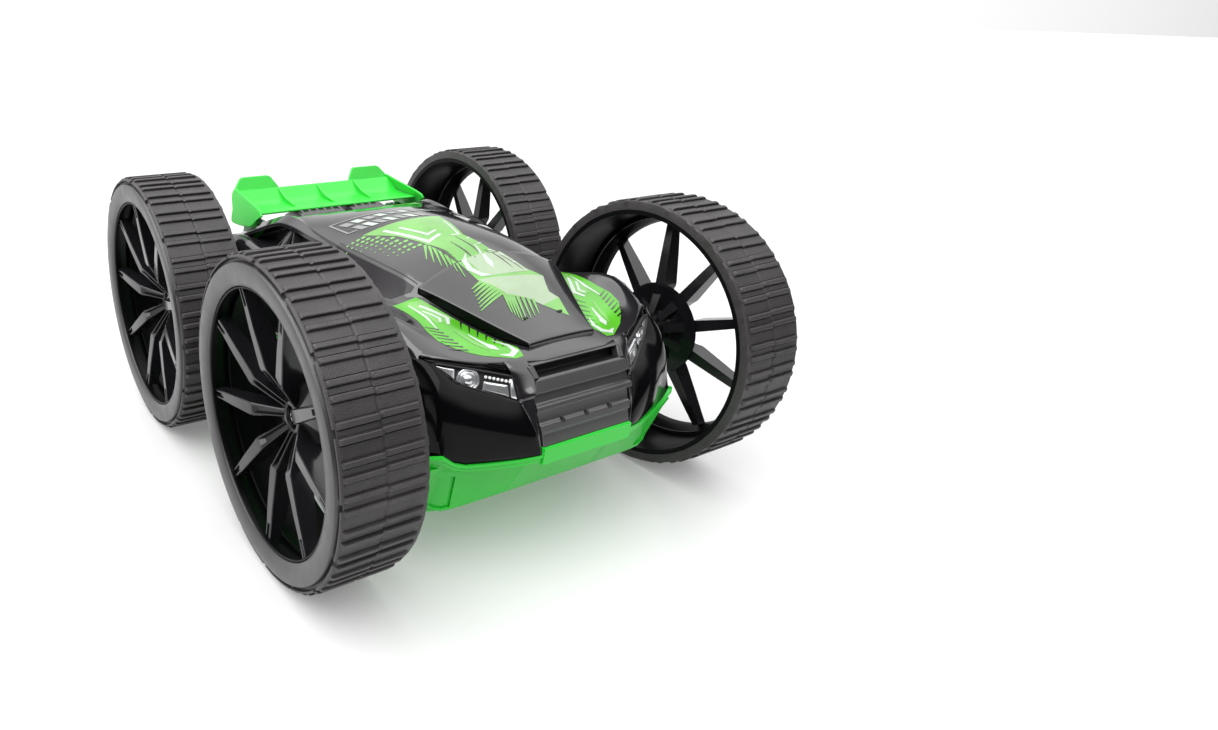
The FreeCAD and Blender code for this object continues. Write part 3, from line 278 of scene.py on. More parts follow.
def on_chassis(shape, name, *materials, slot="black_gloss", sharp=32, wall=0, offset=-1, edge=(),
               stands_for=()):
    """Builds a piece of the chassis, with its wall, its rounded edges and the CAD nodes it stands for."""
    thing = shape.build(name, *materials, sharp=sharp)
    if wall:
        solid = thing.modifiers.new("wall", "SOLIDIFY")
        solid.thickness = wall * MM
        solid.offset = offset
    if edge:
        rounded(thing, *edge)
    place(thing, "chassis", slot, *stands_for)


def curve(points, count):
    """count points along a smooth line through the given points, evenly spaced by length."""
    knots = [Vector(p) for p in points]
    if len(knots) == 2:
        return [knots[0].lerp(knots[1], i / (count - 1)) for i in range(count)]
    ends = [knots[0] * 2 - knots[1], *knots, knots[-1] * 2 - knots[-2]]
    fine = []
    for a, b, c, d in zip(ends, ends[1:], ends[2:], ends[3:]):
        for step in range(24):
            t = step / 24
            fine.append(0.5 * (2 * b + (c - a) * t + (2 * a - 5 * b + 4 * c - d) * t * t
                               + (3 * b - a - 3 * c + d) * t * t * t))
    fine.append(knots[-1])
    lengths = [0.0]
    for first, second in zip(fine, fine[1:]):
        lengths.append(lengths[-1] + (second - first).length)
    picked = []
    at = 0
    for i in range(count):
        goal = lengths[-1] * i / (count - 1)
        while at < len(lengths) - 2 and lengths[at + 1] < goal:
            at += 1
        span = lengths[at + 1] - lengths[at]
        picked.append(fine[at].lerp(fine[at + 1], (goal - lengths[at]) / span if span else 0.0))
    return picked


def between(first, second, steps, bulge=0, up=(0, 0, 1)):
    """Rows of points from one line to another, arched by bulge towards up."""
    rows = []
    for i in range(steps + 1):
        t = i / steps
        lift = Vector(up) * bulge * 4 * t * (1 - t)
        rows.append([a.lerp(b, t) + lift for a, b in zip(first, second)])
    return rows


def section(x, outline):
    """The (y, z) points of an outline in the plane at x."""
    return [Vector((x, y, z)) for y, z in outline]


def circle(count):
    """The cosine and sine of each of count even turns."""
    return [(math.cos(math.tau * k / count), math.sin(math.tau * k / count)) for k in range(count)]


# ---- wheels

BAR_PAIRS = 32
TREAD_BASE = 63.8
# arc from the middle of a pair of bars, and the share of a bar's height there
BAR_HALF_STEPS = (
    (0.9, 0), (1.15, -0.25), (1.4, -0.2), (1.5, 0.8), (1.8, 1), (3.2, 1), (3.5, 0.8), (3.6, -0.2),
    (3.85, -0.25), (4.1, 0),
)
BAR_STEPS = ((-6.26, 0), *((-arc, raised) for arc, raised in reversed(BAR_HALF_STEPS)), *BAR_HALF_STEPS)
# tread points across the width: how far outboard, and the share of a bar's height there
BAR_SPAN = (
    (-16.3, 0), (-14.9, 0), (-14.6, 0.5), (-14.1, 0.95), (-13.4, 1), (-9, 1), (-4.5, 1), (-0.8, 1),
    (-0.3, 0.55), (0.3, 0.55), (0.8, 1), (5, 1), (9.5, 1), (14.4, 1), (15.3, 0.95), (15.8, 0.6), (16.1, 0),
)
BAR_WEAR = 0.12
BAR_SKEW = 0.3
SEAM_GROOVE = 0.28
HALF_SHIFT = 0.4
# the segmented bead and the groove between the tread and the sidewall
SHOULDER = ((16.5, 63.7), (17, 63.5), (17.1, 62.9), (15.6, 62.5), (15.6, 61.5))
BEAD_GAP = 1.1
SIDEWALL_RING = (
    (17.4, 61.2), (17.8, 60.9), (18, 60.2), (18, 58), (17.9, 56), (17.5, 54.2), (17, 53), (16.5, 52.5),
    (15.6, 52.3), (12.9, 52.3), (12.9, 54.1), (9.6, 59.8), (-16.5, 59.8), (-16.5, 63.2),
)
SIDEWALL_STEPS = 10


def wheel_point(end, side, outboard, radius, angle):
    """A point of a wheel from its distance outboard of the wheel's middle plane, radius and angle."""
    return (side * (TRACK_HALF + outboard), end * WHEELBASE_HALF + radius * math.cos(angle),
            AXLE_HEIGHT + radius * math.sin(angle))


def tyre_rings(seed):
    """Profile of the tyre at each angle, as (outboard, radius, extra angle) triples."""
    dice = random.Random(seed)
    rings = []
    for pair in range(BAR_PAIRS):
        heights = [TYRE_RADIUS - TREAD_BASE + dice.uniform(-BAR_WEAR, 0) for _ in range(2)]
        skews = [dice.uniform(-BAR_SKEW, BAR_SKEW) for _ in range(2)]
        shift = dice.choice((-HALF_SHIFT, HALF_SHIFT)) / TREAD_BASE
        for arc, raised in BAR_STEPS:
            bar = int(arc >= 0)
            profile = []
            for outboard, share in BAR_SPAN:
                radius = TREAD_BASE + heights[bar] * share * raised
                across = outboard + (skews[bar] if raised and outboard < -13 else 0)
                if raised <= 0 and abs(outboard) < 0.5:
                    radius -= SEAM_GROOVE
                profile.append((across, radius, shift if outboard > 0 and abs(arc) < 6 else 0))
            broken = pair % 2 == 0 and abs(arc) < 1.5
            for outboard, radius in SHOULDER:
                profile.append((outboard - (BEAD_GAP if broken and radius > 62.8 else 0), radius, 0))
            profile.extend((outboard, radius, 0) for outboard, radius in SIDEWALL_RING)
            rings.append((math.tau * pair / BAR_PAIRS + arc / TREAD_BASE, profile))
    return rings


def make_tyre(corner, end, side):
    name = "tyre_" + corner
    rows = [[wheel_point(end, side, u, r, angle + extra) for u, r, extra in profile]
            for angle, profile in tyre_rings(name)]
    shape = Shape().grid(rows, close_rows=True, close_columns=True)
    first = len(BAR_SPAN) + len(SHOULDER) - 1
    shape.picks = [int(first <= k % len(rows[0]) < first + SIDEWALL_STEPS) for k in range(len(shape.faces))]
    place(shape.build(name + "_tread", RUBBER, SIDEWALL, sharp=28), "wheel_" + corner, "tyre", name)


BARREL = (
    (-16.3, 57.7), (-16.3, 59.6), (9.4, 59.6), (12.8, 53.9), (12.8, 52.2), (15.8, 52.2), (16.1, 52),
    (16.1, 51.6), (15.8, 51.4), (14.2, 51.5), (12.4, 52.4), (10, 54), (7.6, 55.4), (7.4, 54), (6.6, 54),
    (6.4, 56), (3.8, 56.8), (0.6, 57.5), (-4, 57.7),
)
HUB = (
    (-9, 2.05), (-9, 7.6), (-8.4, 8.3), (0.1, 8.3), (0.8, 9.3), (1, 20.9), (1.3, 22.3), (1.8, 22.6),
    (2.3, 22.3), (2.6, 21.6), (2.6, 7.5), (3, 6.7), (3.6, 6.3), (3.8, 5.9), (3.8, 5), (3.5, 4.6),
    (0.8, 4.5), (0.8, 2.05),
)
BARREL_STEPS = 128
SPOKE_COUNT = 9
# the angle of one spoke on each wheel, by side and end
SPOKE_TURN = {(1, -1): 0, (1, 1): 2, (-1, -1): -9.7, (-1, 1): 3.5}
# spoke stations: radius, half width, inner face, outer face, depth of the channel in the outer face
SPOKE_STATIONS = (
    (6, 1.7, -4.6, 3.3, 1), (8, 1.75, -3.6, 4.6, 1.7), (18.9, 2.5, 1.9, 10.9, 1.8),
    (19.9, 2.75, 2.3, 11.6, 0), (21.5, 2.8, 2.9, 12, 0), (36, 2.35, 6.2, 13.6, 0),
    (44.5, 2.05, 8.2, 14.3, 0), (45.6, 2, 8.5, 14.4, 0.9), (51.6, 1.8, 9.8, 15.1, 0.9),
)


def spun(shape, end, side, outline, steps, pick=0):
    """Adds an outline of (outboard, radius) pairs turned round the axle."""
    shape.grid([[wheel_point(end, side, u, r, math.tau * step / steps) for u, r in outline]
                for step in range(steps)], pick, close_rows=True, close_columns=True)


def spoke_ring(end, side, angle, station):
    """Outline of a spoke at one radius: a bevelled bar with a channel along its outer face."""
    radius, half, inner, outer, channel = station
    soft = 0.35
    outline = (
        (-half, inner), (half, inner), (half, outer - soft), (half - soft, outer), (half * 0.56, outer),
        (half * 0.44, outer - channel), (-half * 0.44, outer - channel), (-half * 0.56, outer),
        (-half + soft, outer), (-half, outer - soft),
    )
    middle = Vector(wheel_point(end, side, 0, radius, angle))
    beside = Vector((0, -math.sin(angle), math.cos(angle)))
    return [middle + beside * w + Vector((side * u, 0, 0)) for w, u in outline]


def make_rim(corner, end, side):
    name = "rim_" + corner
    shape = Shape()
    # the barrel gets the darker rim black: painted shade inside the wheel
    spun(shape, end, side, BARREL, BARREL_STEPS, 1)
    spun(shape, end, side, HUB, BARREL_STEPS // 2)
    for number in range(SPOKE_COUNT):
        angle = math.radians(SPOKE_TURN[side, end] + number * 360 / SPOKE_COUNT)
        shape.loft([spoke_ring(end, side, angle, station) for station in SPOKE_STATIONS])
    rim = shape.build(name + "_moulding", RIM_BLACK, SHADED_RIM_BLACK, sharp=24)
    place(rim, "wheel_" + corner, "rim_plastic", name)


for wheel in CORNERS:
    make_tyre(*wheel)
    make_rim(*wheel)


# ---- body skin


def along_length(points, steps):
    """Points of a smooth line at even steps of its run from front to rear."""
    knots = [Vector(p) for p in points]
    ends = [knots[0], *knots, knots[-1]]
    slopes = [(after - before) / (after.y - before.y) for before, after in zip(ends, ends[2:])]
    sampled = []
    for step in range(steps + 1):
        y = knots[0].y + (knots[-1].y - knots[0].y) * step / steps
        i = min(sum(knot.y < y for knot in knots[1:]), len(knots) - 2)
        run = knots[i + 1].y - knots[i].y
        t = (y - knots[i].y) / run
        point = (knots[i] * (2 * t ** 3 - 3 * t ** 2 + 1) + slopes[i] * run * (t ** 3 - 2 * t ** 2 + t)
                 + knots[i + 1] * (3 * t ** 2 - 2 * t ** 3) + slopes[i + 1] * run * (t ** 3 - t ** 2))
        sampled.append(Vector((point.x, y, point.z)))
    return sampled


# lines of the left half of the hood and cabin, front to rear; the right half mirrors them
CENTRE_LINE = (
    (0, -118, 88), (0, -112, 90), (0, -100, 93.4), (0, -85, 98.8), (0, -69, 107), (0, -58, 112.9),
    (0, -48, 116.2), (0, -36, 117.8), (0, -20, 118.3), (0, -5, 117.8), (0, 20, 115.2), (0, 34, 112.6),
    (0, 45, 109.8),
)
RAIL_LINE = (
    (15.7, -117.7, 87.8), (15.9, -110, 89.8), (20.6, -98, 90.3), (26, -84, 93.6), (30.4, -72, 98.4),
    (33.4, -66, 101.2), (35.8, -61, 103), (36.9, -56, 103.9), (38, -46, 105.3), (39.3, -34, 106),
    (40.6, -20, 106.5), (41.8, -5, 107), (42.3, 12, 107.8), (42.3, 30, 109.2), (41.5, 45, 109.6),
)
VALLEY_LINE = (
    (38, -110, 88.5), (42, -103, 89.6), (45, -95, 92), (47, -85, 95), (47.6, -75, 96.8), (47.2, -66, 97.2),
    (46.6, -57, 97), (48, -46, 95.8), (49.4, -32, 94.6), (50.4, -15, 93.6), (51, 5, 93.2), (51, 30, 93.6),
    (50.4, 45, 94.6),
)
CREST_LINE = (
    (54, -100.4, 89.6), (57, -96, 91.8), (58, -90, 94.6), (58.3, -83, 97.6), (58, -76, 98.7),
    (58, -68, 97.9), (58, -60.5, 95.8), (57.8, -51, 93), (57.4, -40, 90.6), (57, -20, 88.4), (57, 5, 87.6),
    (57, 30, 88.2), (56.5, 45, 90),
)
OUTER_LINE = (
    (59.5, -97, 90.2), (62.2, -90, 91.6), (64, -83, 93.4), (64.6, -76, 94.2), (64.3, -68, 93.4),
    (63.4, -60, 91.2), (62.2, -50, 88), (61, -40, 85.6), (60, -20, 83.2), (59.6, 5, 82.6), (59.6, 30, 83.2),
    (59.6, 45, 85),
)
FLANK_LINE = (
    (60.4, -107, 80), (63.6, -98, 80), (65, -88, 80), (65.2, -76, 80), (64.6, -60, 78), (61.6, -40, 74),
    (60.4, -20, 72), (60, 5, 72), (60, 30, 72), (60.2, 45, 73),
)
SILL_LINE = (
    (61.4, -116, 53.4), (64.6, -100, 53), (64, -88, 53), (62, -76, 53), (60.4, -60, 53), (59.6, -40, 53),
    (58.8, -20, 53), (58.4, 5, 53), (58.4, 30, 53), (58.6, 45, 53),
)
BODY_LINES = (CENTRE_LINE, RAIL_LINE, VALLEY_LINE, CREST_LINE, OUTER_LINE, FLANK_LINE, SILL_LINE)
BODY_STEPS = 72
CROWN_STEPS = 12
# the rear side window: columns beyond the crown, where it starts, its slant and the rows behind it
WINDOW_COLUMNS = range(CROWN_STEPS + 2, CROWN_STEPS + 7)
WINDOW_START_Y = 4
WINDOW_SLANT = 2.6
ROWS_BEHIND_WINDOW = 4


def crown(centre, edge, steps, power=2.1):
    """Points from the middle line out to an edge, level at the middle."""
    x, y, z = edge - centre
    shares = [i / steps for i in range(steps + 1)]
    return [centre + Vector((x * s, y * s, z * s ** power)) for s in shares]


def make_body_skin():
    """Hood, cabin and fenders, open at the rear side windows."""
    rows = [crown(centre, rail, CROWN_STEPS) + curve([rail, *flank], 31)[1:]
            for centre, rail, *flank in zip(*(along_length(line, BODY_STEPS) for line in BODY_LINES))]

    def window(i, j):
        start = WINDOW_START_Y + WINDOW_SLANT * (j - CROWN_STEPS)
        return j in WINDOW_COLUMNS and rows[i][j].y > start and i < len(rows) - ROWS_BEHIND_WINDOW

    on_chassis(Shape().grid(rows, skip=window).mirrored(), "upper_body_skin", BODY_BLACK, sharp=30, wall=1.4,
               edge=(0.35, 2, 40), stands_for=("upper_shell", "side_louvre_left", "side_louvre_right"))


TAIL_LINES = (
    ((0, 46, 100), (0, 60, 98), (0, 85, 91), (0, 104, 82), (0, 115, 73), (0, 118.4, 66), (0, 119.6, 53)),
    ((24, 46, 100), (24, 60, 98), (24, 85, 91), (24, 104, 82), (24, 115, 73), (24, 118.3, 66),
     (24, 119.4, 53)),
    ((37, 46, 99.5), (38, 60, 96.5), (40, 85, 91), (39, 104, 82), (36, 114, 73.5), (34, 117.8, 66),
     (33, 119.2, 53)),
    ((46, 46, 94.5), (47, 60, 93), (48, 85, 91.6), (47, 103, 83.5), (44, 113, 74), (42, 117.3, 65),
     (41, 119, 53)),
    ((56.5, 45, 90), (57.5, 60, 92.4), (58, 78, 94.6), (57, 96, 89.4), (53.5, 108, 79), (50, 115.6, 66),
     (48, 118.8, 53)),
    ((59.6, 45, 85), (61, 60, 87), (61.6, 76, 88.4), (60.6, 94, 83.4), (57.2, 106, 73), (53, 114.8, 63),
     (50.4, 118.4, 53)),
    ((60.2, 45, 73), (60.4, 60, 74), (60.8, 78, 75), (60.6, 94, 71), (58.4, 106, 65), (54.6, 113.6, 58.6),
     (52.6, 117.4, 53)),
    ((58.6, 45, 53), (58.6, 60, 53), (59, 80, 53), (59.8, 96, 53), (58.8, 106, 53), (55.6, 113, 53),
     (54, 116.2, 53)),
)
TAIL_STEPS = 44
# slope of the rear glass, from under the roof's edge down onto the tail: station and height
REAR_GLASS = ((43.5, 108.4), (47, 107.6), (52, 104.6), (58, 100.6), (64, 97.6), (68, 96.2))


def make_tail():
    """Tail behind the cabin, and the rear glass that slopes down onto it."""
    rows = [curve(at, 37) for at in zip(*(along_length(line, TAIL_STEPS) for line in TAIL_LINES))]
    on_chassis(Shape().grid(rows).mirrored(), "rear_body_skin", BODY_BLACK, sharp=34, wall=1.4)
    rows = [curve([(-41, y, z - 0.9), (-22, y, z - 0.2), (0, y, z), (22, y, z - 0.2), (41, y, z - 0.9)], 21)
            for y, z in REAR_GLASS]
    on_chassis(Shape().grid(rows), "rear_glass", GLASS_DARK, sharp=40, wall=1, offset=0)


BUTTRESS_PATH = (
    (42, 2, 105.8), (42.6, 20, 107.2), (43, 34, 109), (43.6, 46, 109.3), (44.6, 54, 107.6),
    (46.6, 66, 103.2), (48.2, 80, 97.8), (49.4, 94, 91.8), (49.8, 106, 84.6),
)
BUTTRESS_WIDTHS = (1.6, 1.9, 3, 4.6, 5.6, 6.2, 6.2, 5.6, 4.6)
BUTTRESS_LEAN = 0.62
BUTTRESS_STEPS = 33


def make_buttresses():
    """Arched band each side, from the roof rail over the rear glass down to the wing's foot."""
    widths = [w.x for w in curve([(w, 0, 0) for w in BUTTRESS_WIDTHS], BUTTRESS_STEPS)]
    rings = []
    for point, half in zip(curve(BUTTRESS_PATH, BUTTRESS_STEPS), widths):
        lean = BUTTRESS_LEAN * (half - BUTTRESS_WIDTHS[0])
        rings.append([point + Vector((x, 0, z)) for x, z in (
            (-half, 0.2), (-half * 0.2, 0.9), (half, -0.5 - lean), (half + 0.5, -2.4 - lean),
            (half - 0.9, -2.6 - lean), (half - 1.3, -1.6 - lean), (-half + 0.6, -1.2))])
    on_chassis(Shape().loft(rings).mirrored(), "roof_buttresses", BODY_BLACK, sharp=36, edge=(0.25,))


POCKET_TOP = (
    (37.5, -6, 103), (38.5, 12, 104), (39, 30, 106), (39.5, 44, 107), (40.5, 58, 103.5), (42, 76, 97.5),
    (43, 92, 91.5),
)
POCKET_LOW = (
    (43, -6, 93), (44, 12, 91), (44, 30, 90.5), (43.5, 44, 91), (43.5, 58, 91.5), (43.5, 76, 91),
    (43.5, 92, 88.5),
)
POCKET_RIB_TOP = (43.6, 39, 107.2)
POCKET_RIB_FEET = ((49.6, 74, 93.4), (50.6, 50, 92.6), (50.4, 33, 92.4))


def make_pockets():
    """Hollow behind each rear side window, its walls in painted shade black, with thin ribs that fan out
    from its top.
    """
    walls = Shape().grid(between(curve(POCKET_TOP, 25), curve(POCKET_LOW, 25), 5, 0.8, (-1, 0, 0)))
    on_chassis(walls.mirrored(), "rear_pocket_walls", PAINTED_SHADE_BLACK, slot="dark_plastic", wall=1.2)
    ribs = Shape()
    for foot in POCKET_RIB_FEET:
        rings = []
        for t in (0, 0.35, 0.7, 1):
            at = Vector(POCKET_RIB_TOP).lerp(Vector(foot), t)
            rings.append([at + Vector(corner) for corner in (
                (0, -0.45, 0), (0, 0.45, 0), (-5, 0.45, -1), (-5, -0.45, -1))])
        ribs.loft(rings)
    on_chassis(ribs.mirrored(), "rear_pocket_ribs", SATIN_GREY, slot="dark_plastic", edge=(0.15,))


# ---- hood panel

HOOD_PANEL_EDGE = (
    (15.9, -109, 92.2), (21.3, -97, 95.2), (26.9, -84.5, 98.6), (33, -71, 102.2), (36.6, -62.6, 103.9),
)
# steps down from the panel's edge: rounded lip, then a side that gets painted shade
HOOD_PANEL_SIDE = (
    (0.3, -0.06, -0.08), (0.55, -0.1, -0.3), (0.66, -0.12, -0.65), (0.7, -0.14, -1.3), (1, -0.2, -6),
)
HOOD_PANEL_CENTRE = ((0, -109.2, 92.8), (0, -97, 97.1), (0, -85, 102), (0, -69, 109.3), (0, -60, 112.9))
SHADED_SIDE_COLUMNS = 2


def make_hood_panel():
    """Raised centre panel of the hood, with a double edge and a pair of washer slots."""
    rows = []
    for middle, rim in zip(along_length(HOOD_PANEL_CENTRE, 30), along_length(HOOD_PANEL_EDGE, 30)):
        half = crown(middle, rim, 14, 2.3)
        half.extend(rim + Vector(step) for step in HOOD_PANEL_SIDE)
        rows.append([Vector((-p.x, p.y, p.z)) for p in reversed(half[1:])] + half)
    front = [[Vector((p.x * 1.02, p.y - out, p.z - down)) for p in rows[0]]
             for out, down in ((0.9, 4), (0.85, 1.3), (0.7, 0.7), (0.35, 0.2))]
    rear = [[Vector((p.x * narrow, p.y + out, p.z - down)) for p in rows[-1]]
            for out, down, narrow in ((0.25, 0.15, 1), (0.5, 0.6, 0.996), (1, 4.5, 0.97))]
    shape = Shape().grid(front + rows + rear)
    last = len(rows[0]) - 2
    columns = [k % (last + 1) for k in range(len(shape.faces))]
    # the lowest faces of each side get the darker copy of body black: painted shade on the step
    shape.picks = [int(min(column, last - column) < SHADED_SIDE_COLUMNS) for column in columns]
    on_chassis(shape, "hood_panel", BODY_BLACK, SHADED_BODY_BLACK, sharp=62)
    slots = Shape()
    for x in (-9, 9):
        slots.loft([[Vector((x + across, -97.2 + back, 96.75 + up)) for across, back, up in (
            (-half, 0, high), (half, 0, high), (half - 0.4, -0.9, low), (0.4 - half, -0.9, low))]
            for half, high, low in ((1.5, 0.1, -0.1), (1.3, 0.5, 0.25))])
    # painted shade: the washer slots are filled with the near-black
    on_chassis(slots, "washer_slots", PAINTED_SHADE_BLACK)


# ---- nose


def coons(top, low, inner, outer, bulge=(0, 0, 0)):
    """Rows of a patch inside four border lines, pushed out by bulge at its middle."""
    rows = []
    for j in range(len(inner)):
        v = j / (len(inner) - 1)
        row = []
        for i in range(len(top)):
            u = i / (len(top) - 1)
            corners = top[0].lerp(top[-1], u).lerp(low[0].lerp(low[-1], u), v)
            point = top[i].lerp(low[i], v) + inner[j].lerp(outer[j], u) - corners
            row.append(point + Vector(bulge) * (16 * u * (1 - u) * v * (1 - v)) ** 0.7)
        rows.append(row)
    return rows


LAMP_LOW_EDGE = (
    (29.5, -121.2, 75), (34.5, -118.4, 76.6), (39.5, -115.2, 78.6), (44.5, -112, 80.4),
    (49.3, -108.6, 82.6), (53.7, -105.2, 86.2), (56.4, -102.4, 88.6),
)
LAMP_TOP_EDGE = ((30, -117, 83.4), (40, -111.6, 85.6), (50, -105.8, 87.4), (56.4, -102.4, 88.6))
NOSE_CREASE = ((29.5, -121.2, 75), (27.6, -124.4, 70), (24.9, -127.8, 62.6), (23.4, -129.5, 54.2))
CHEEK_LOW_EDGE = (
    (23.4, -129.5, 54.2), (32, -126.4, 53.4), (42, -122, 52.6), (50, -118.6, 52.2), (56, -117.4, 53.6),
    (60.4, -116.9, 57),
)
CHEEK_OUTER_EDGE = (
    (59.4, -98.4, 90), (60.2, -105.4, 84), (60.7, -110.2, 76), (60.7, -113.4, 66.7), (60.4, -116.9, 57),
)
CHEEK_BACK_EDGE = ((62.4, -95.5, 90), (63.4, -97, 80), (64, -100, 70), (64.4, -103, 62), (64.6, -104, 54))
GRILLE_SIDE_EDGE = ((25.2, -124.3, 76.8), (24.8, -126, 70), (23.6, -127.8, 62), (22.9, -129.4, 55))
FACET_OUTER_EDGE = (
    (31.4, -112.5, 88.5), (30.9, -115.4, 86.4), (30, -117.4, 83), (29.6, -119.4, 78.4), (29.5, -121.2, 75),
)
FACET_INNER_EDGE = (
    (22.6, -115.4, 88.2), (22.6, -118.6, 86), (23.4, -121.6, 82.4), (24.9, -124.6, 78.8),
    (25.2, -124.3, 76.8),
)
HOOD_LIP = ((31.5, -114.4, 87.5), (42.6, -106.6, 88.5), (52.4, -101.2, 89.1), (59.4, -97.6, 89.9))


def make_cheeks():
    """Corners of the nose below the headlamps, the narrow faces beside the grille and the hood's lip."""
    inner = curve(NOSE_CREASE, 19)
    outer = curve(CHEEK_OUTER_EDGE, 19)
    top = curve((*LAMP_LOW_EDGE, CHEEK_OUTER_EDGE[0]), 25)
    cheeks = Shape()
    cheeks.grid(coons(top, curve(CHEEK_LOW_EDGE, 25), inner, outer, (1.2, -3.2, 0.4)))
    cheeks.grid(between(outer, curve(CHEEK_BACK_EDGE, 19), 6, 0.6, (1, 0, 0)))
    # painted shade: the cheeks get the darker, less glossy copy of body black
    on_chassis(cheeks.mirrored(), "nose_cheeks", SHADED_BODY_BLACK, sharp=36, wall=1.3,
               edge=(0.4, 3, 30))
    facets = Shape()
    facets.grid(between(inner, curve(GRILLE_SIDE_EDGE, 19), 3))
    facets.grid(between(curve(FACET_OUTER_EDGE, 17), curve(FACET_INNER_EDGE, 17), 4, 0.3, (0.2, -1, 0.2)))
    on_chassis(facets.mirrored(), "nose_side_facets", BODY_BLACK, sharp=28, wall=1.2,
               edge=(0.3, 2, 28))
    tucked = [p + Vector((-0.6, 1.6, 0.3)) for p in curve((*LAMP_TOP_EDGE, (59.4, -98.4, 89.4)), 21)]
    lip = Shape().grid(between(curve(HOOD_LIP, 21), tucked, 3, -0.6, (0.4, -0.9, 0)))
    # painted shade: the lip tucked under the hood's edge gets the darker copy of body black
    on_chassis(lip.mirrored(), "hood_under_lip", SHADED_BODY_BLACK, sharp=36, wall=1)


# grille section from the hood down to the bumper: station, height, half width
GRILLE_SECTION = (
    (-117.6, 87.6, 22.9), (-118.5, 86.9, 22.9), (-114.8, 86.2, 22.4), (-115.6, 82.2, 21),
    (-121.4, 83.1, 20.4), (-122.2, 82.6, 23.6), (-124.6, 78.4, 24.9), (-123, 77.9, 24.6),
    (-122.9, 77.2, 24.4), (-124.4, 74, 24.3), (-126.1, 73.4, 24.9), (-126.6, 71.6, 24.7), (-125, 71, 24.1),
    (-125, 70.4, 23.9), (-126.4, 66.6, 23.4), (-127.7, 66, 23.7), (-128.4, 63.2, 23.2),
    (-127.9, 62.6, 22.8), (-129.2, 58.6, 22.4), (-129.4, 57.2, 22.4), (-124, 57.2, 22.4),
    (-113.5, 80, 22.6), (-112.6, 87, 22.9),
)
# faces of the section inside the intake slot, which get painted shade black
GRILLE_SLOT_SHADE_STEPS = (1, 2, 3)
# ends of the intake slot: distance from the middle, station, height
GRILLE_SLOT_END = ((21.6, -118.3, 87), (20.6, -121.4, 82.9), (20.6, -117.6, 82.2), (21.6, -114.6, 86.4))
GRILLE_SLOT_END_WIDTH = 2.6
GRILLE_BOLTS = (-12.3, 0, 12.3)
# a bolt's turned outline: height over the slats, radius
GRILLE_BOLT_STEPS = ((-0.6, 1.05), (0.75, 1.05), (0.95, 0.8), (0.95, 0.45), (0.2, 0.45))


def make_grille():
    """Slatted satin fascia between the cheeks, with an open intake slot under the hood's edge, its inside
    painted shade black.
    """
    shares = (-1, -0.33, 0.33, 1)
    rings = [[Vector((share * half, y, z)) for y, z, half in GRILLE_SECTION] for share in shares]
    shape = Shape().loft(rings)
    for span in range(len(shares) - 1):
        for step in GRILLE_SLOT_SHADE_STEPS:
            shape.picks[span * len(GRILLE_SECTION) + step] = 1
    for side in (-1, 1):
        shape.loft([[Vector((side * (x + reach), y, z)) for x, y, z in GRILLE_SLOT_END]
                    for reach in (0, GRILLE_SLOT_END_WIDTH)])
    on_chassis(shape, "front_grille_slats", SATIN_GREY, PAINTED_SHADE_BLACK, slot="dark_plastic", sharp=24,
               edge=(0.35, 3, 24), stands_for=("front_grille",))
    bolts = Shape()
    for x in GRILLE_BOLTS:
        bolts.loft([[Vector((x + radius * c, -127 - out, 66 + radius * s)) for c, s in circle(12)]
                    for out, radius in GRILLE_BOLT_STEPS])
    # painted shade: the bolts sit in dark notches and get the near-black
    on_chassis(bolts, "grille_bolts", PAINTED_SHADE_BLACK, slot="dark_plastic")


# ---- headlamps

LAMP_NORMAL = Vector((0.43, -0.86, 0.3)).normalized()
LAMP_ALONG = (Vector((56, -102.6, 88.6)) - Vector((30, -119, 79.5))).normalized()
LAMP_ACROSS = LAMP_NORMAL.cross(LAMP_ALONG).normalized()
LAMP_RECESS = 1.7
PROJECTOR_AT = (45.6, -110.2, 83)
PROJECTOR_RADIUS = 4.4
# turned outlines as shares of the radius and heights
PROJECTOR_STEPS = (
    (1, -0.4), (1, 0.7), (0.92, 0.9), (0.84, 0.3), (0.72, 0.3), (0.68, 0.9), (0.6, 0.9), (0.54, 0.25),
    (0.44, 0.25), (0.4, 1.1), (0.32, 1.3), (0.12, 1.5),
)
LAMP_DOT_STEPS = ((1, -0.2), (1, 0.25), (0.6, 0.5), (0.2, 0.6))
LAMP_DOT_RADIUS = 0.62
LAMP_DOT_COUNT = 7
LAMP_DOTS_FROM = (39.6, -113.2, 84)
LAMP_DOTS_TO = (31.6, -117.9, 82.2)
# mirrored strips: the outer wedge, the inner post and the floor under the dots
LAMP_WEDGES = (
    ((49.9, -107.4, 87), (56.2, -102.7, 88.4), (53.4, -105.4, 86), (50.2, -107.9, 83.2)),
    ((30.2, -117.4, 83), (31.2, -116.8, 83.2), (32.2, -119.9, 76.6), (29.9, -120.9, 75.7)),
    ((32.6, -117.8, 81), (40.4, -113.2, 82.4), (41.4, -114, 79.2), (32.6, -119.3, 76.7)),
)


def in_bowl(point, height=0):
    """A point of the lamp's opening moved back to a height over the bowl's floor."""
    return Vector(point) - LAMP_NORMAL * (LAMP_RECESS - height)


def stepped_disc(shape, centre, radius, steps, sides, pick=0):
    """Closed turned shape that stands on the bowl's floor."""
    shape.loft([[centre + LAMP_ALONG * radius * share * c + LAMP_ACROSS * radius * share * s
                 + LAMP_NORMAL * height for c, s in circle(sides)] for share, height in steps], pick)


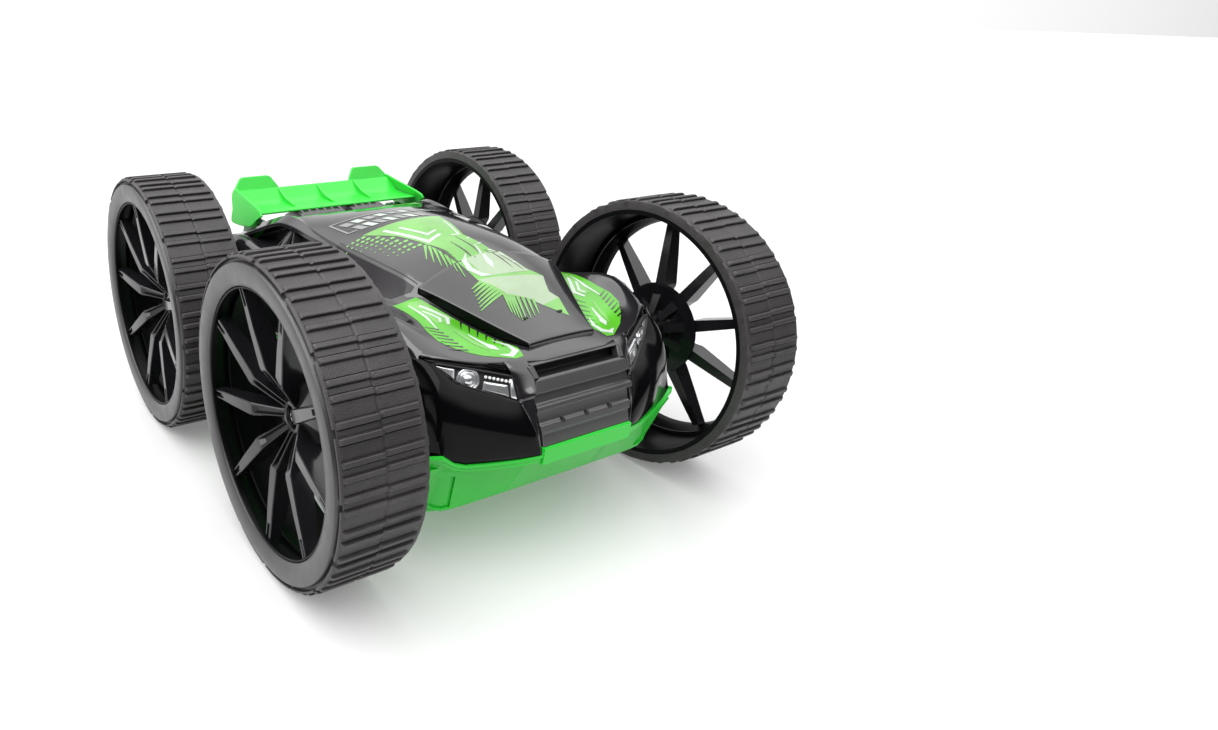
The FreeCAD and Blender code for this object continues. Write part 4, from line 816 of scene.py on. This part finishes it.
def make_headlamps():
    """Bowl behind each lamp's opening, with a ringed projector, a row of dots and mirrored wedges."""
    top = curve(LAMP_TOP_EDGE, 17)
    low = curve(LAMP_LOW_EDGE, 17)
    inner = curve((LAMP_TOP_EDGE[0], (29.7, -119.4, 79), LAMP_LOW_EDGE[0]), 7)
    floor = [[in_bowl(p) for p in row] for row in coons(top, low, inner, [top[-1]] * len(inner))]
    bowls = Shape().grid(floor)
    for border, foot in ((top, floor[0]), (low, floor[-1]), (inner, [row[0] for row in floor])):
        bowls.grid([border, foot])
    # painted shade: the lamp bowls get the near-black
    on_chassis(bowls.mirrored(), "headlamp_bowls", PAINTED_SHADE_BLACK, slot="lamp", sharp=30, wall=0.8, offset=1,
               stands_for=("headlamp_left", "headlamp_right"))
    bright = Shape()
    stepped_disc(bright, in_bowl(PROJECTOR_AT, 0.2), PROJECTOR_RADIUS, PROJECTOR_STEPS, 40)
    for number in range(LAMP_DOT_COUNT):
        at = Vector(LAMP_DOTS_FROM).lerp(Vector(LAMP_DOTS_TO), number / (LAMP_DOT_COUNT - 1))
        stepped_disc(bright, in_bowl(at, 0.3), LAMP_DOT_RADIUS, LAMP_DOT_STEPS, 12, 1)
    for corners in LAMP_WEDGES:
        face = [in_bowl(p, 0.5) for p in corners]
        middle = sum(face, Vector((0, 0, 0))) / len(face)
        bright.loft([[p - LAMP_NORMAL * 0.9 for p in face], face,
                     [middle.lerp(p, 0.72) + LAMP_NORMAL * 0.45 for p in face]])
    on_chassis(bright.mirrored(), "headlamp_reflectors", SILVER, LAMP_PALE, slot="lamp", sharp=30,
               edge=(0.12, 2, 30))


# ---- bumper

BUMPER_TOP = (
    (0, -130.4, 57.6), (12, -130.4, 57.6), (22.6, -130.2, 57.6), (23.2, -130, 54.6), (32, -127.4, 53.8),
    (42, -123.2, 53), (51, -119.4, 52.6), (56, -118.6, 54.4), (60.6, -118, 58), (64.6, -115, 57.4),
    (66.4, -104, 54.8), (65.4, -92, 53.2), (62.6, -82, 52.6),
)
BUMPER_CREASE = (
    (0, -121.4, 47), (12, -121.4, 47), (22.6, -121.2, 47), (23.2, -120.4, 46.6), (32, -118.2, 46.4),
    (42, -115.6, 46.4), (50, -113.6, 46.6), (55, -113.4, 47.4), (59.2, -113.6, 48.8), (63.4, -112.4, 50.6),
    (65.6, -103, 47.6), (64.4, -92, 46.6), (61.4, -82, 46.4),
)
BUMPER_LOW = (
    (0, -110.8, 28), (12, -110.8, 28), (22.6, -110.8, 28), (23.2, -110.7, 28), (32, -110.7, 28),
    (42, -110.6, 28), (50, -110.3, 28), (54.6, -109.8, 28.2), (58.4, -109.2, 29.8), (61.4, -107.6, 32),
    (62.9, -101, 30), (62.2, -91, 28.6), (58.2, -82, 28.4),
)
LIP_HEIGHT = 1
CORNER_X = 50
# the columns of points round the recess in each corner
RECESS_FIRST = 6
RECESS_LAST = 9


def make_bumper():
    """Green front lip: a raised band, a step beside the grille, a sloping chin and recessed corners."""
    top, crease, low = ([Vector(p) for p in line] for line in (BUMPER_TOP, BUMPER_CREASE, BUMPER_LOW))
    lip_in = [p + Vector((-0.6 if p.x > CORNER_X else 0, 1.5, 0.05)) for p in top]
    lip_out = [p + Vector((0.1 if p.x > CORNER_X else 0, -0.1, -LIP_HEIGHT)) for p in top]
    chin = [a.lerp(b, 0.06) for a, b in zip(crease, low)]
    low_back = [p + Vector((-1.2 if p.x > CORNER_X else 0, 2.4, 0)) for p in low]
    rows = [[p - Vector((0, 0, 3)) for p in lip_in], lip_in, top, lip_out, crease, chin, low, low_back]
    shape = Shape().grid(rows, skip=lambda i, j: rows[i] is chin and RECESS_FIRST <= j < RECESS_LAST)
    rim = chin[RECESS_FIRST:RECESS_LAST + 1] + low[RECESS_LAST:RECESS_FIRST - 1:-1]
    centre = sum(rim, Vector((0, 0, 0))) / len(rim)
    inset = [p.lerp(centre, 0.12) for p in rim]
    floor = [p + Vector((-0.5, 0.9, 0.1)) for p in inset]
    shape.grid([rim, inset, floor], close_columns=True)
    last = len(rim) - 1
    shape.add(floor, [(k, k + 1, last - k - 1, last - k) for k in range(3)])
    on_chassis(shape.mirrored(), "front_bumper", GREEN, slot="green_plastic", sharp=22, wall=0.9,
               edge=(0.35, 3, 22))


# ---- wing

WING_HALF_SPAN = 49.4
BLADE_SECTION = (
    (71.5, 105.4), (71.3, 106.2), (72, 106.8), (76, 106.5), (82, 106.2), (88, 106.3), (91.5, 106.8),
    (94.6, 108.4), (98.4, 111.4), (100.6, 112.7), (102.2, 112.6), (101.4, 111.2), (97.6, 108), (93, 105.3),
    (88, 104.9), (80, 104.7), (75, 104.8),
)
RIB_SECTION = (
    (78, 105.6), (79, 107.2), (88, 108.4), (94, 110.4), (99.6, 112.9), (100.8, 112), (94, 106.2),
    (84, 105.2),
)
RIB_STATIONS = (-24.4, 0, 24.4)
RIB_HALF_WIDTH = 0.75
END_PLATE_OUTLINE = (
    (63.8, 106.8), (65.4, 108.8), (70, 109.9), (80, 111.2), (92, 112.6), (102, 114), (105, 113.2),
    (105.8, 110.8), (104.8, 108.4), (102.4, 105.4), (100.8, 102.2), (100.6, 99.2), (99.4, 96.8), (97, 96.2),
    (88, 96.8), (78, 98.2), (73, 99.2), (70.4, 101.4), (67.6, 104.4),
)
END_PLATE_MIDDLE = (86, 104)
END_PLATE_LEAN = 0.27
# layers of an end plate: distance outward, and how far its outline is drawn in there
END_PLATE_LAYERS = ((0, 0.45), (0.5, 0), (1.2, 0), (1.7, 0.45))
FIN_OUTLINE = (
    (24.4, -2.6), (22.8, 0.6), (23.4, 2.4), (26.6, 7.2), (28.2, 8), (43.6, 8), (45.2, 7.4), (49, 3),
    (49.4, 1.2), (48.6, -2.6),
)
FIN_LEAN = 0.55
FIN_THICKNESS = 1.7
# layers of a wing foot: height, and how far it grows out there
FOOT_LAYERS = ((88, 1.5), (97, 0.6), (99, 0), (99.6, -0.6))


def make_wing():
    """Green wing: scooped blade, leaning end plates that stand on the tail, ribs and two rear fins."""
    shape = Shape()
    shape.loft([section(WING_HALF_SPAN * step / 4, BLADE_SECTION) for step in range(-4, 5)])
    for side in (-1, 1):
        plate = []
        for outward, inset in END_PLATE_LAYERS:
            ring = []
            for y, z in END_PLATE_OUTLINE:
                y += math.copysign(inset, END_PLATE_MIDDLE[0] - y)
                z += math.copysign(inset, END_PLATE_MIDDLE[1] - z)
                ring.append(Vector((side * (48.6 + outward + (112 - z) * END_PLATE_LEAN), y, z)))
            plate.append(ring)
        shape.loft(plate)
        shape.loft([[Vector((side * x, 101.6 + back + up * FIN_LEAN, 110.8 + up)) for x, up in FIN_OUTLINE]
                    for back in (0, FIN_THICKNESS)])
        shape.loft([[Vector((side * 45.2 + x, 83 + y, height)) for x, y in (
            (-4.4 - grow, -6 - grow), (4.6 + grow, -6 - grow), (4.6 + grow, 7 + grow),
            (-4.4 - grow, 7 + grow))] for height, grow in FOOT_LAYERS])
    for x in RIB_STATIONS:
        shape.loft([section(x + out, RIB_SECTION) for out in (-RIB_HALF_WIDTH, RIB_HALF_WIDTH)])
    on_chassis(shape, "rear_wing_moulding", GREEN, slot="green_plastic", sharp=26, edge=(0.32, 3, 26),
               stands_for=("rear_wing",))


# ---- rear covers

COVER_SPANS = ((5, 27), (-27, 1.4))
COVER_SECTION = (
    (62, 97), (64.5, 103.2), (67, 105), (72, 105.3), (80, 104), (88, 100.8), (94, 95.6), (96, 90), (62, 92),
)
COVER_MIDDLE = (79, 92)
# along a cover: share of its half width, and the size of its section there
COVER_STEPS = ((-1, 0.86), (-0.93, 0.97), (-0.5, 1), (0.5, 1), (0.93, 0.97), (1, 0.86))
LOUVRE_PITCH = 4.6
LOUVRE_HEIGHT = 1.4
# along a louvre: station, height, half width
LOUVRE_STEPS = ((66.5, 104.6, 0.5), (71, 106, 1.1), (79, 104.9, 1.1), (87, 101.3, 0.5))


def make_rear_covers():
    """Two satin covers behind the roof, each with a row of raised louvres."""
    shape = Shape()
    middle_y, middle_z = COVER_MIDDLE
    for low_x, high_x in COVER_SPANS:
        middle = (low_x + high_x) / 2
        half = (high_x - low_x) / 2
        shape.loft([section(middle + half * share, [(middle_y + (y - middle_y) * size,
                                                     middle_z + (z - middle_z) * size)
                                                    for y, z in COVER_SECTION])
                    for share, size in COVER_STEPS])
        count = int(2 * half // LOUVRE_PITCH)
        for number in range(count):
            x = middle + (number - (count - 1) / 2) * LOUVRE_PITCH
            shape.loft([[Vector((x + wide * share, y, z - drop)) for share, drop in (
                (-1, LOUVRE_HEIGHT), (-0.6, 0), (0.6, 0), (1, LOUVRE_HEIGHT))]
                for y, z, wide in LOUVRE_STEPS])
    on_chassis(shape, "rear_covers", SATIN_GREY, slot="dark_plastic", sharp=30, edge=(0.3, 2, 30),
               stands_for=("rear_deck",))


# ---- decals

LIME, LEAF, PALE, WHITE, GREY, BLACK, PANE = range(7)
DECAL_STEP = 1.5
FAN_LIFT = 0.22
PANE_LIFT = 0.08
# sheets between a left and a right line seen from above: height over the skin, finish, the two lines
DECAL_PATCHES = (
    (0.1, LIME, ((-32, -8), (-24, -24), (-20, -40), (-19, -46), (-16.5, -64.8), (-15.2, -73.3)),
     ((6.1, -14.3), (3, -28), (-1.3, -43.5), (0, -48), (8.9, -70.5), (17.5, -76.8))),
    (0.1, PALE, ((-15.2, -73.3), (-9, -83.5), (0, -88), (4, -92.9)),
     ((17.5, -76.8), (15, -81.5), (13, -86), (15.3, -89.8))),
    (0.1, LIME, ((4, -92.9), (11.6, -100.7)), ((15.3, -89.8), (11.6, -100.7))),
    (0.16, PALE, ((-13, -60), (-11, -73)), ((5, -58), (12, -74))),
    (0.1, LEAF, ((-8, 39.5), (-8, 44)), ((32, 37.5), (32, 44))),
)
# strokes: height over the skin, finish, (x, y, half width) along the stroke
DECAL_STROKES = (
    (0.16, WHITE, ((-24.5, -14, 0.9), (-17.7, -40.8, 1), (-9.8, -38.1, 0.9))),
    (0.16, WHITE, ((-18.5, -18, 0.7), (-14.2, -34.8, 0.8), (-8.5, -33, 0.7))),
    (0.16, WHITE, ((2.4, -22.9, 0.4), (-3.1, -42.8, 0.6), (-6.5, -41.5, 0.5))),
    (0.22, WHITE,
     ((-9.5, -57, 0.2), (-13.8, -61.5, 1.1), (-14.6, -67, 1.3), (-11.8, -71.5, 1), (-8.2, -72.6, 0.2))),
    (0.22, WHITE, ((-1.8, -52.8, 0.3), (-3.2, -62, 0.9), (-3.6, -66, 1.6), (-4.2, -69.5, 0.1))),
    (0.22, BLACK, ((-10.5, -47, 0.1), (-8.5, -56, 0.45), (-7.8, -62, 0.1))),
    (0.22, BLACK, ((-6, -44, 0.1), (-3.8, -53, 0.4), (-3.2, -58, 0.1))),
    (0.22, BLACK, ((0.5, -57, 0.1), (3.6, -65, 0.45), (5.2, -71, 0.1))),
    (0.22, BLACK, ((4.3, -62, 0.1), (7.5, -68, 0.4), (9.6, -73, 0.1))),
    (0.16, GREY, ((-35.5, 17.5, 0.5), (-34.5, 1, 0.5), (-30.5, -0.5, 0.5))),
    (0.16, GREY, ((-36, 17.5, 0.5), (4, 10.5, 0.5), (22, 6.5, 0.3))),
)
# fans of strokes: count, finish, half widths at both ends, lines that the strokes run between
DECAL_FANS = (
    (7, LIME, 0.2, 0.75, ((-20.2, -76.3), (-21.3, -81.8), (-23.2, -86.9)),
     ((-14, -74.6), (-10.5, -78.3), (-8.3, -82.3))),
    (8, LIME, 0.75, 0.15, ((-9, -83.2), (-4.9, -85), (1.8, -88.8)),
     ((-12.4, -93.3), (-10.5, -99), (-1.6, -97))),
    (6, LIME, 0.7, 0.15, ((-20.4, -42), (-18.4, -47), (-17.2, -58)),
     ((-25.5, -51), (-22, -60), (-19, -70))),
    (5, BLACK, 0.35, 0.1, ((-19.2, -43.5), (-17.6, -54)), ((-15.5, -53), (-14.8, -62))),
    (5, WHITE, 0.4, 0.3, ((-2.5, -48), (6.5, -67)), ((-0.4, -47), (8.8, -68.5))),
)
# the same kinds of piece on both fenders, given for the left one
FENDER_PATCHES = (
    (0.1, LEAF,
     ((38.8, -63.4), (35.8, -70.5), (32.6, -78), (29.2, -86), (26, -93), (22.6, -100.5), (20.2, -107),
      (21.8, -112.6)),
     ((48.4, -61), (48.4, -68), (48, -79.1), (49, -87), (48, -93), (42.8, -99.6), (36.2, -105.8),
      (25.6, -112.6))),
    (0.16, LIME, ((37.6, -66), (34.6, -74), (31.6, -81)), ((44, -64), (43.2, -74), (41, -82))),
)
FENDER_STROKES = (
    (0.22, WHITE, ((40.5, -68.5, 0.7), (34.2, -79.5, 0.9), (36.6, -83.8, 0.7))),
    (0.22, WHITE, ((41.6, -72.5, 0.5), (37.6, -79, 0.6), (39, -81.6, 0.5))),
    (0.22, WHITE, ((44.2, -66, 0.3), (42.8, -77, 0.8), (43.6, -86, 0.3))),
    (0.22, WHITE,
     ((26, -98, 0.2), (22.8, -104, 0.9), (22.6, -108.6, 1.2), (26, -110.4, 1), (29.8, -108.2, 0.2))),
    (0.22, WHITE, ((33, -92, 0.3), (30.5, -100, 0.9), (29.4, -102.6, 1.6), (28, -105.8, 0.1))),
    (0.22, LIME, ((37, -88, 0.3), (34, -98, 1), (31.6, -104, 0.3))),
)
FENDER_FANS = (
    (7, BLACK, 0.12, 0.42, ((48.2, -84), (46.2, -98)), ((43, -86.5), (39.4, -101))),
    (6, BLACK, 0.4, 0.1, ((30.4, -83.6), (22.4, -101.5)), ((33.4, -88), (25.2, -104))),
)
# window panes: top and low line of the left one
PANE_TOP = ((36.9, -59.4), (38, -50), (39.3, -40), (40.6, -26), (41.9, -10), (42.2, -2))
PANE_LOW = ((39, -60), (45.4, -55), (47, -45), (48.4, -32), (49.4, -12), (49.8, -3))
# shrinking dots in rows that run out from the flash's edge
DOT_EDGE = ((-31.5, -10), (-24.6, -24), (-20.6, -40))
DOT_ROWS = 9
DOT_COLUMNS = 5
# rows of plain slanted bars on the roof: count, start, end, depth
ROOF_BARS = ((9, (-33.5, 13.5), (18, 5.6), 5.6), (7, (-31, 5.2), (2, -4.2), 7.4))
BAR_SLANT = 1.6


def skin_tree():
    """Finder of points on the body skin and the hood panel."""
    shaped = bmesh.new()
    for name in ("upper_body_skin", "hood_panel"):
        shaped.from_mesh(bpy.data.objects[name].data)
    tree = BVHTree.FromBMesh(shaped)
    shaped.free()
    return tree


def on_skin(tree, at, lift):
    """The point of the skin right below a plan position, lifted along the surface normal."""
    hit, normal, _, _ = tree.ray_cast(Vector((at.x, at.y, 200)) * MM, Vector((0, 0, -1)))
    if hit is None:
        hit, normal, _, _ = tree.find_nearest(Vector((at.x, at.y, 88)) * MM)
    return hit / MM + normal * math.copysign(lift, normal.z)


def patch(shape, tree, left, right, lift, pick):
    """A sheet that follows the skin between two plan lines with matching corners."""
    pairs = []
    for i in range(len(left) - 1):
        a, b, c, d = (Vector(p) for p in (left[i], left[i + 1], right[i], right[i + 1]))
        steps = max(1, math.ceil(max((b - a).length, (d - c).length) / DECAL_STEP))
        pairs.extend((a.lerp(b, k / steps), c.lerp(d, k / steps)) for k in range(steps))
    pairs.append((Vector(left[-1]), Vector(right[-1])))
    across = max(1, math.ceil(max((c - a).length for a, c in pairs) / DECAL_STEP))
    shape.grid([[on_skin(tree, a.lerp(c, j / across), lift) for j in range(across + 1)] for a, c in pairs],
               pick)


def stroke(shape, tree, points, lift, pick):
    """A sheet along a plan line of (x, y, half width) points, with mitred corners."""
    line = [Vector(p[:2]) for p in points]
    left = []
    right = []
    for i, at in enumerate(line):
        before = (line[max(i, 1)] - line[max(i, 1) - 1]).normalized()
        after = (line[i + 1] - at).normalized() if i + 1 < len(line) else before
        along = (before + after).normalized()
        side = Vector((-along.y, along.x)) * points[i][2] / max(0.4, along.dot(before))
        left.append(at + side)
        right.append(at - side)
    patch(shape, tree, left, right, lift, pick)


def along_plan(points, share):
    """The point at a share of a plan line, counted by its corners."""
    at = share * (len(points) - 1)
    i = min(int(at), len(points) - 2)
    return Vector(points[i]).lerp(Vector(points[i + 1]), at - i)


def flipped(points, side):
    return [(p[0] * side, *p[1:]) for p in points]


def lay_out(shape, tree, side, patches, strokes, fans):
    """Adds printed patches, strokes and fans of tapering strokes on one side."""
    for lift, pick, left, right in patches:
        patch(shape, tree, flipped(left, side), flipped(right, side), lift, pick)
    for lift, pick, points in strokes:
        stroke(shape, tree, flipped(points, side), lift, pick)
    for count, pick, first_half, last_half, starts, ends in fans:
        for number in range(count):
            a, b = (along_plan(flipped(line, side), number / (count - 1)) for line in (starts, ends))
            stroke(shape, tree, ((*a, first_half), (*b, last_half)), FAN_LIFT, pick)


def make_decals():
    """Thin printed sheets: windows, a flash over the roof and hood, plain bars, dots and fender flashes."""
    tree = skin_tree()
    shape = Shape()
    lay_out(shape, tree, 1, DECAL_PATCHES, DECAL_STROKES, DECAL_FANS)
    for side in (1, -1):
        patch(shape, tree, flipped(PANE_TOP, side), flipped(PANE_LOW, side), PANE_LIFT, PANE)
        # a thin dark line just inboard of the pane's top: painted shade along the window frame's step
        stroke(shape, tree, [(side * (x - 1.5), y, 0.2) for x, y in PANE_TOP], PANE_LIFT, PANE)
        lay_out(shape, tree, side, FENDER_PATCHES, FENDER_STROKES, FENDER_FANS)
    for row in range(DOT_ROWS):
        edge = along_plan(DOT_EDGE, row / (DOT_ROWS - 1))
        for column in range(DOT_COLUMNS):
            centre = edge + Vector((-1.2 - 2.5 * column - 1.25 * (row % 2), 0.5 * column))
            radius = 1.15 - 0.2 * column
            ring = [on_skin(tree, centre + Vector(turn) * radius, 0.12) for turn in circle(8)]
            shape.add(ring, [tuple(range(8))], LIME)
    for count, first, last, depth in ROOF_BARS:
        drop = Vector((BAR_SLANT, -depth))
        for number in range(count):
            a, b = (Vector(first).lerp(Vector(last), (number + share) / count) for share in (0.08, 0.78))
            patch(shape, tree, (a, a + drop), (b, b + drop), 0.16, WHITE if number % 2 else GREY)
    on_chassis(shape, "body_decals", *DECAL_FINISHES, BODY_BLACK, GLASS_DARK)


for make in (make_body_skin, make_tail, make_buttresses, make_pockets, make_hood_panel, make_cheeks,
             make_grille, make_headlamps, make_bumper, make_wing, make_rear_covers, make_decals):
    make()


# ---- CAD nodes

# finishes, each with the beginnings of the names of its nodes
NODE_FINISHES = (
    (HOUSING_BLACK, ("axle_housing", "front_carrier", "power_switch", "board_standoffs")),
    (STEEL, ("axle_front", "axle_rear", "wheel_screw", "wing_screws", "shell_screws", "battery_door_screw",
             "idler_pin", "motor_rotor", "motor_can")),
    (BRASS, ("motor_pinion", "battery_contacts", "axle_bushes")),
    (GREEN, ("battery_door", "lower_shell", "rear_wing")),
    (CELL_BLUE, ("battery_cells",)),
    (BOARD_GREEN, ("circuit_board",)),
    (CHIP_BLACK, ("board_parts",)),
    (CASE_GREY, ("gearbox_case",)),
    (GEAR_WHITE, ("axle_gear", "compound_gear")),
    (BODY_BLACK, ("upper_shell",)),
    (SATIN_GREY, ("front_grille", "side_louvre", "rear_deck")),
    (SILVER, ("headlamp",)),
    (RUBBER, ("tyre",)),
    (RIM_BLACK, ("rim",)),
)
finish_of = {prefix: material for material, prefixes in NODE_FINISHES for prefix in prefixes}
for node_name, node in nodes.items():
    longest = max((p for p in finish_of if node_name.startswith(p)), key=len)
    node.data.materials.clear()
    node.data.materials.append(finish_of[longest])

for corner, _, _ in CORNERS:
    rounded(nodes["axle_housing_" + corner], 0.5)
rounded(nodes["battery_door"], 0.25, 1)


# ---- studio

FLOOR_HALF = 12
FLOOR_FRONT = -0.62
FLOOR_BACK = 24
KEY_LIGHT_AT = Vector((-0.5, -0.1, 0.9))
KEY_LIGHT_AIM = Vector((0, 0, 0.05))
KEY_LIGHT_SIZE = (1.3, 1)
KEY_LIGHT_WATTS = 9.5
CAMERA_AZIMUTH = math.radians(-31.023)
CAMERA_ELEVATION = math.radians(22.907)
CAMERA_ROLL = math.radians(1.143)
CAMERA_TARGET = Vector((-41.5, -31.4, 65)) * MM
CAMERA_DISTANCE = 0.37921


def make_floor():
    """Pale, slightly glossy floor."""
    material, tree, shader = new_material("floor_white")
    tone = ramp(tree, noise(tree, 3), (0.3, 0.7), ((0.52, 0.52, 0.52), (0.55, 0.55, 0.55)))
    link(tree, tone, "Color", shader, "Base Color")
    set_inputs(shader, Roughness=0.32, Specular_IOR_Level=0.35, Emission_Color=(1, 0.99, 0.995, 1),
               Emission_Strength=0.2)
    mesh = bpy.data.meshes.new("floor")
    mesh.from_pydata([(-FLOOR_HALF, FLOOR_FRONT, 0), (FLOOR_HALF, FLOOR_FRONT, 0),
                      (FLOOR_HALF, FLOOR_BACK, 0), (-FLOOR_HALF, FLOOR_BACK, 0)], [], [(0, 1, 2, 3)])
    mesh.materials.append(material)
    add_object("floor", mesh)


def make_sky():
    """A studio round the car: bright above and behind, dark in front."""
    world = bpy.data.worlds.new("studio")
    world.use_nodes = True
    bpy.context.scene.world = world
    tree = world.node_tree
    split = add_node(tree, "SeparateXYZ")
    link(tree, add_node(tree, "TexCoord"), "Generated", split, "Vector")
    brightest = add_node(tree, "Math")
    brightest.operation = "MAXIMUM"
    for number, (axis, span, strengths) in enumerate((("Z", (0.3, 0.72), (0, 2.1)),
                                                      ("Y", (-0.35, 0.55), (0.02, 1.05)))):
        slope = map_range(tree, split, axis, span, strengths)
        slope.interpolation_type = "SMOOTHSTEP"
        link(tree, slope, "Result", brightest, number)
    background = set_inputs(tree.nodes["Background"], Color=(1, 1, 1, 1))
    link(tree, brightest, "Value", background, "Strength")


def make_key_light():
    light = bpy.data.lights.new("key_light", "AREA")
    light.shape = "RECTANGLE"
    light.size, light.size_y = KEY_LIGHT_SIZE
    light.energy = KEY_LIGHT_WATTS
    thing = add_object("key_light", light)
    thing.location = KEY_LIGHT_AT
    thing.rotation_euler = (KEY_LIGHT_AIM - KEY_LIGHT_AT).to_track_quat("-Z", "Y").to_euler()


def make_camera():
    data = bpy.data.cameras.new("camera")
    data.sensor_width = 36
    data.lens = 24.574
    data.shift_x = 0.1972
    data.shift_y = -0.01246
    data.clip_start = 0.01
    camera = add_object("camera", data)
    pose = Matrix.Translation(CAMERA_TARGET)
    for angle, axis in ((CAMERA_AZIMUTH, "Z"), (math.pi / 2 - CAMERA_ELEVATION, "X"), (CAMERA_ROLL, "Z")):
        pose @= Matrix.Rotation(angle, 4, axis)
    camera.matrix_world = pose @ Matrix.Translation((0, 0, CAMERA_DISTANCE))
    bpy.context.scene.camera = camera


make_floor()
make_sky()
make_key_light()
make_camera()
bpy.context.scene.view_settings.view_transform = "Standard"
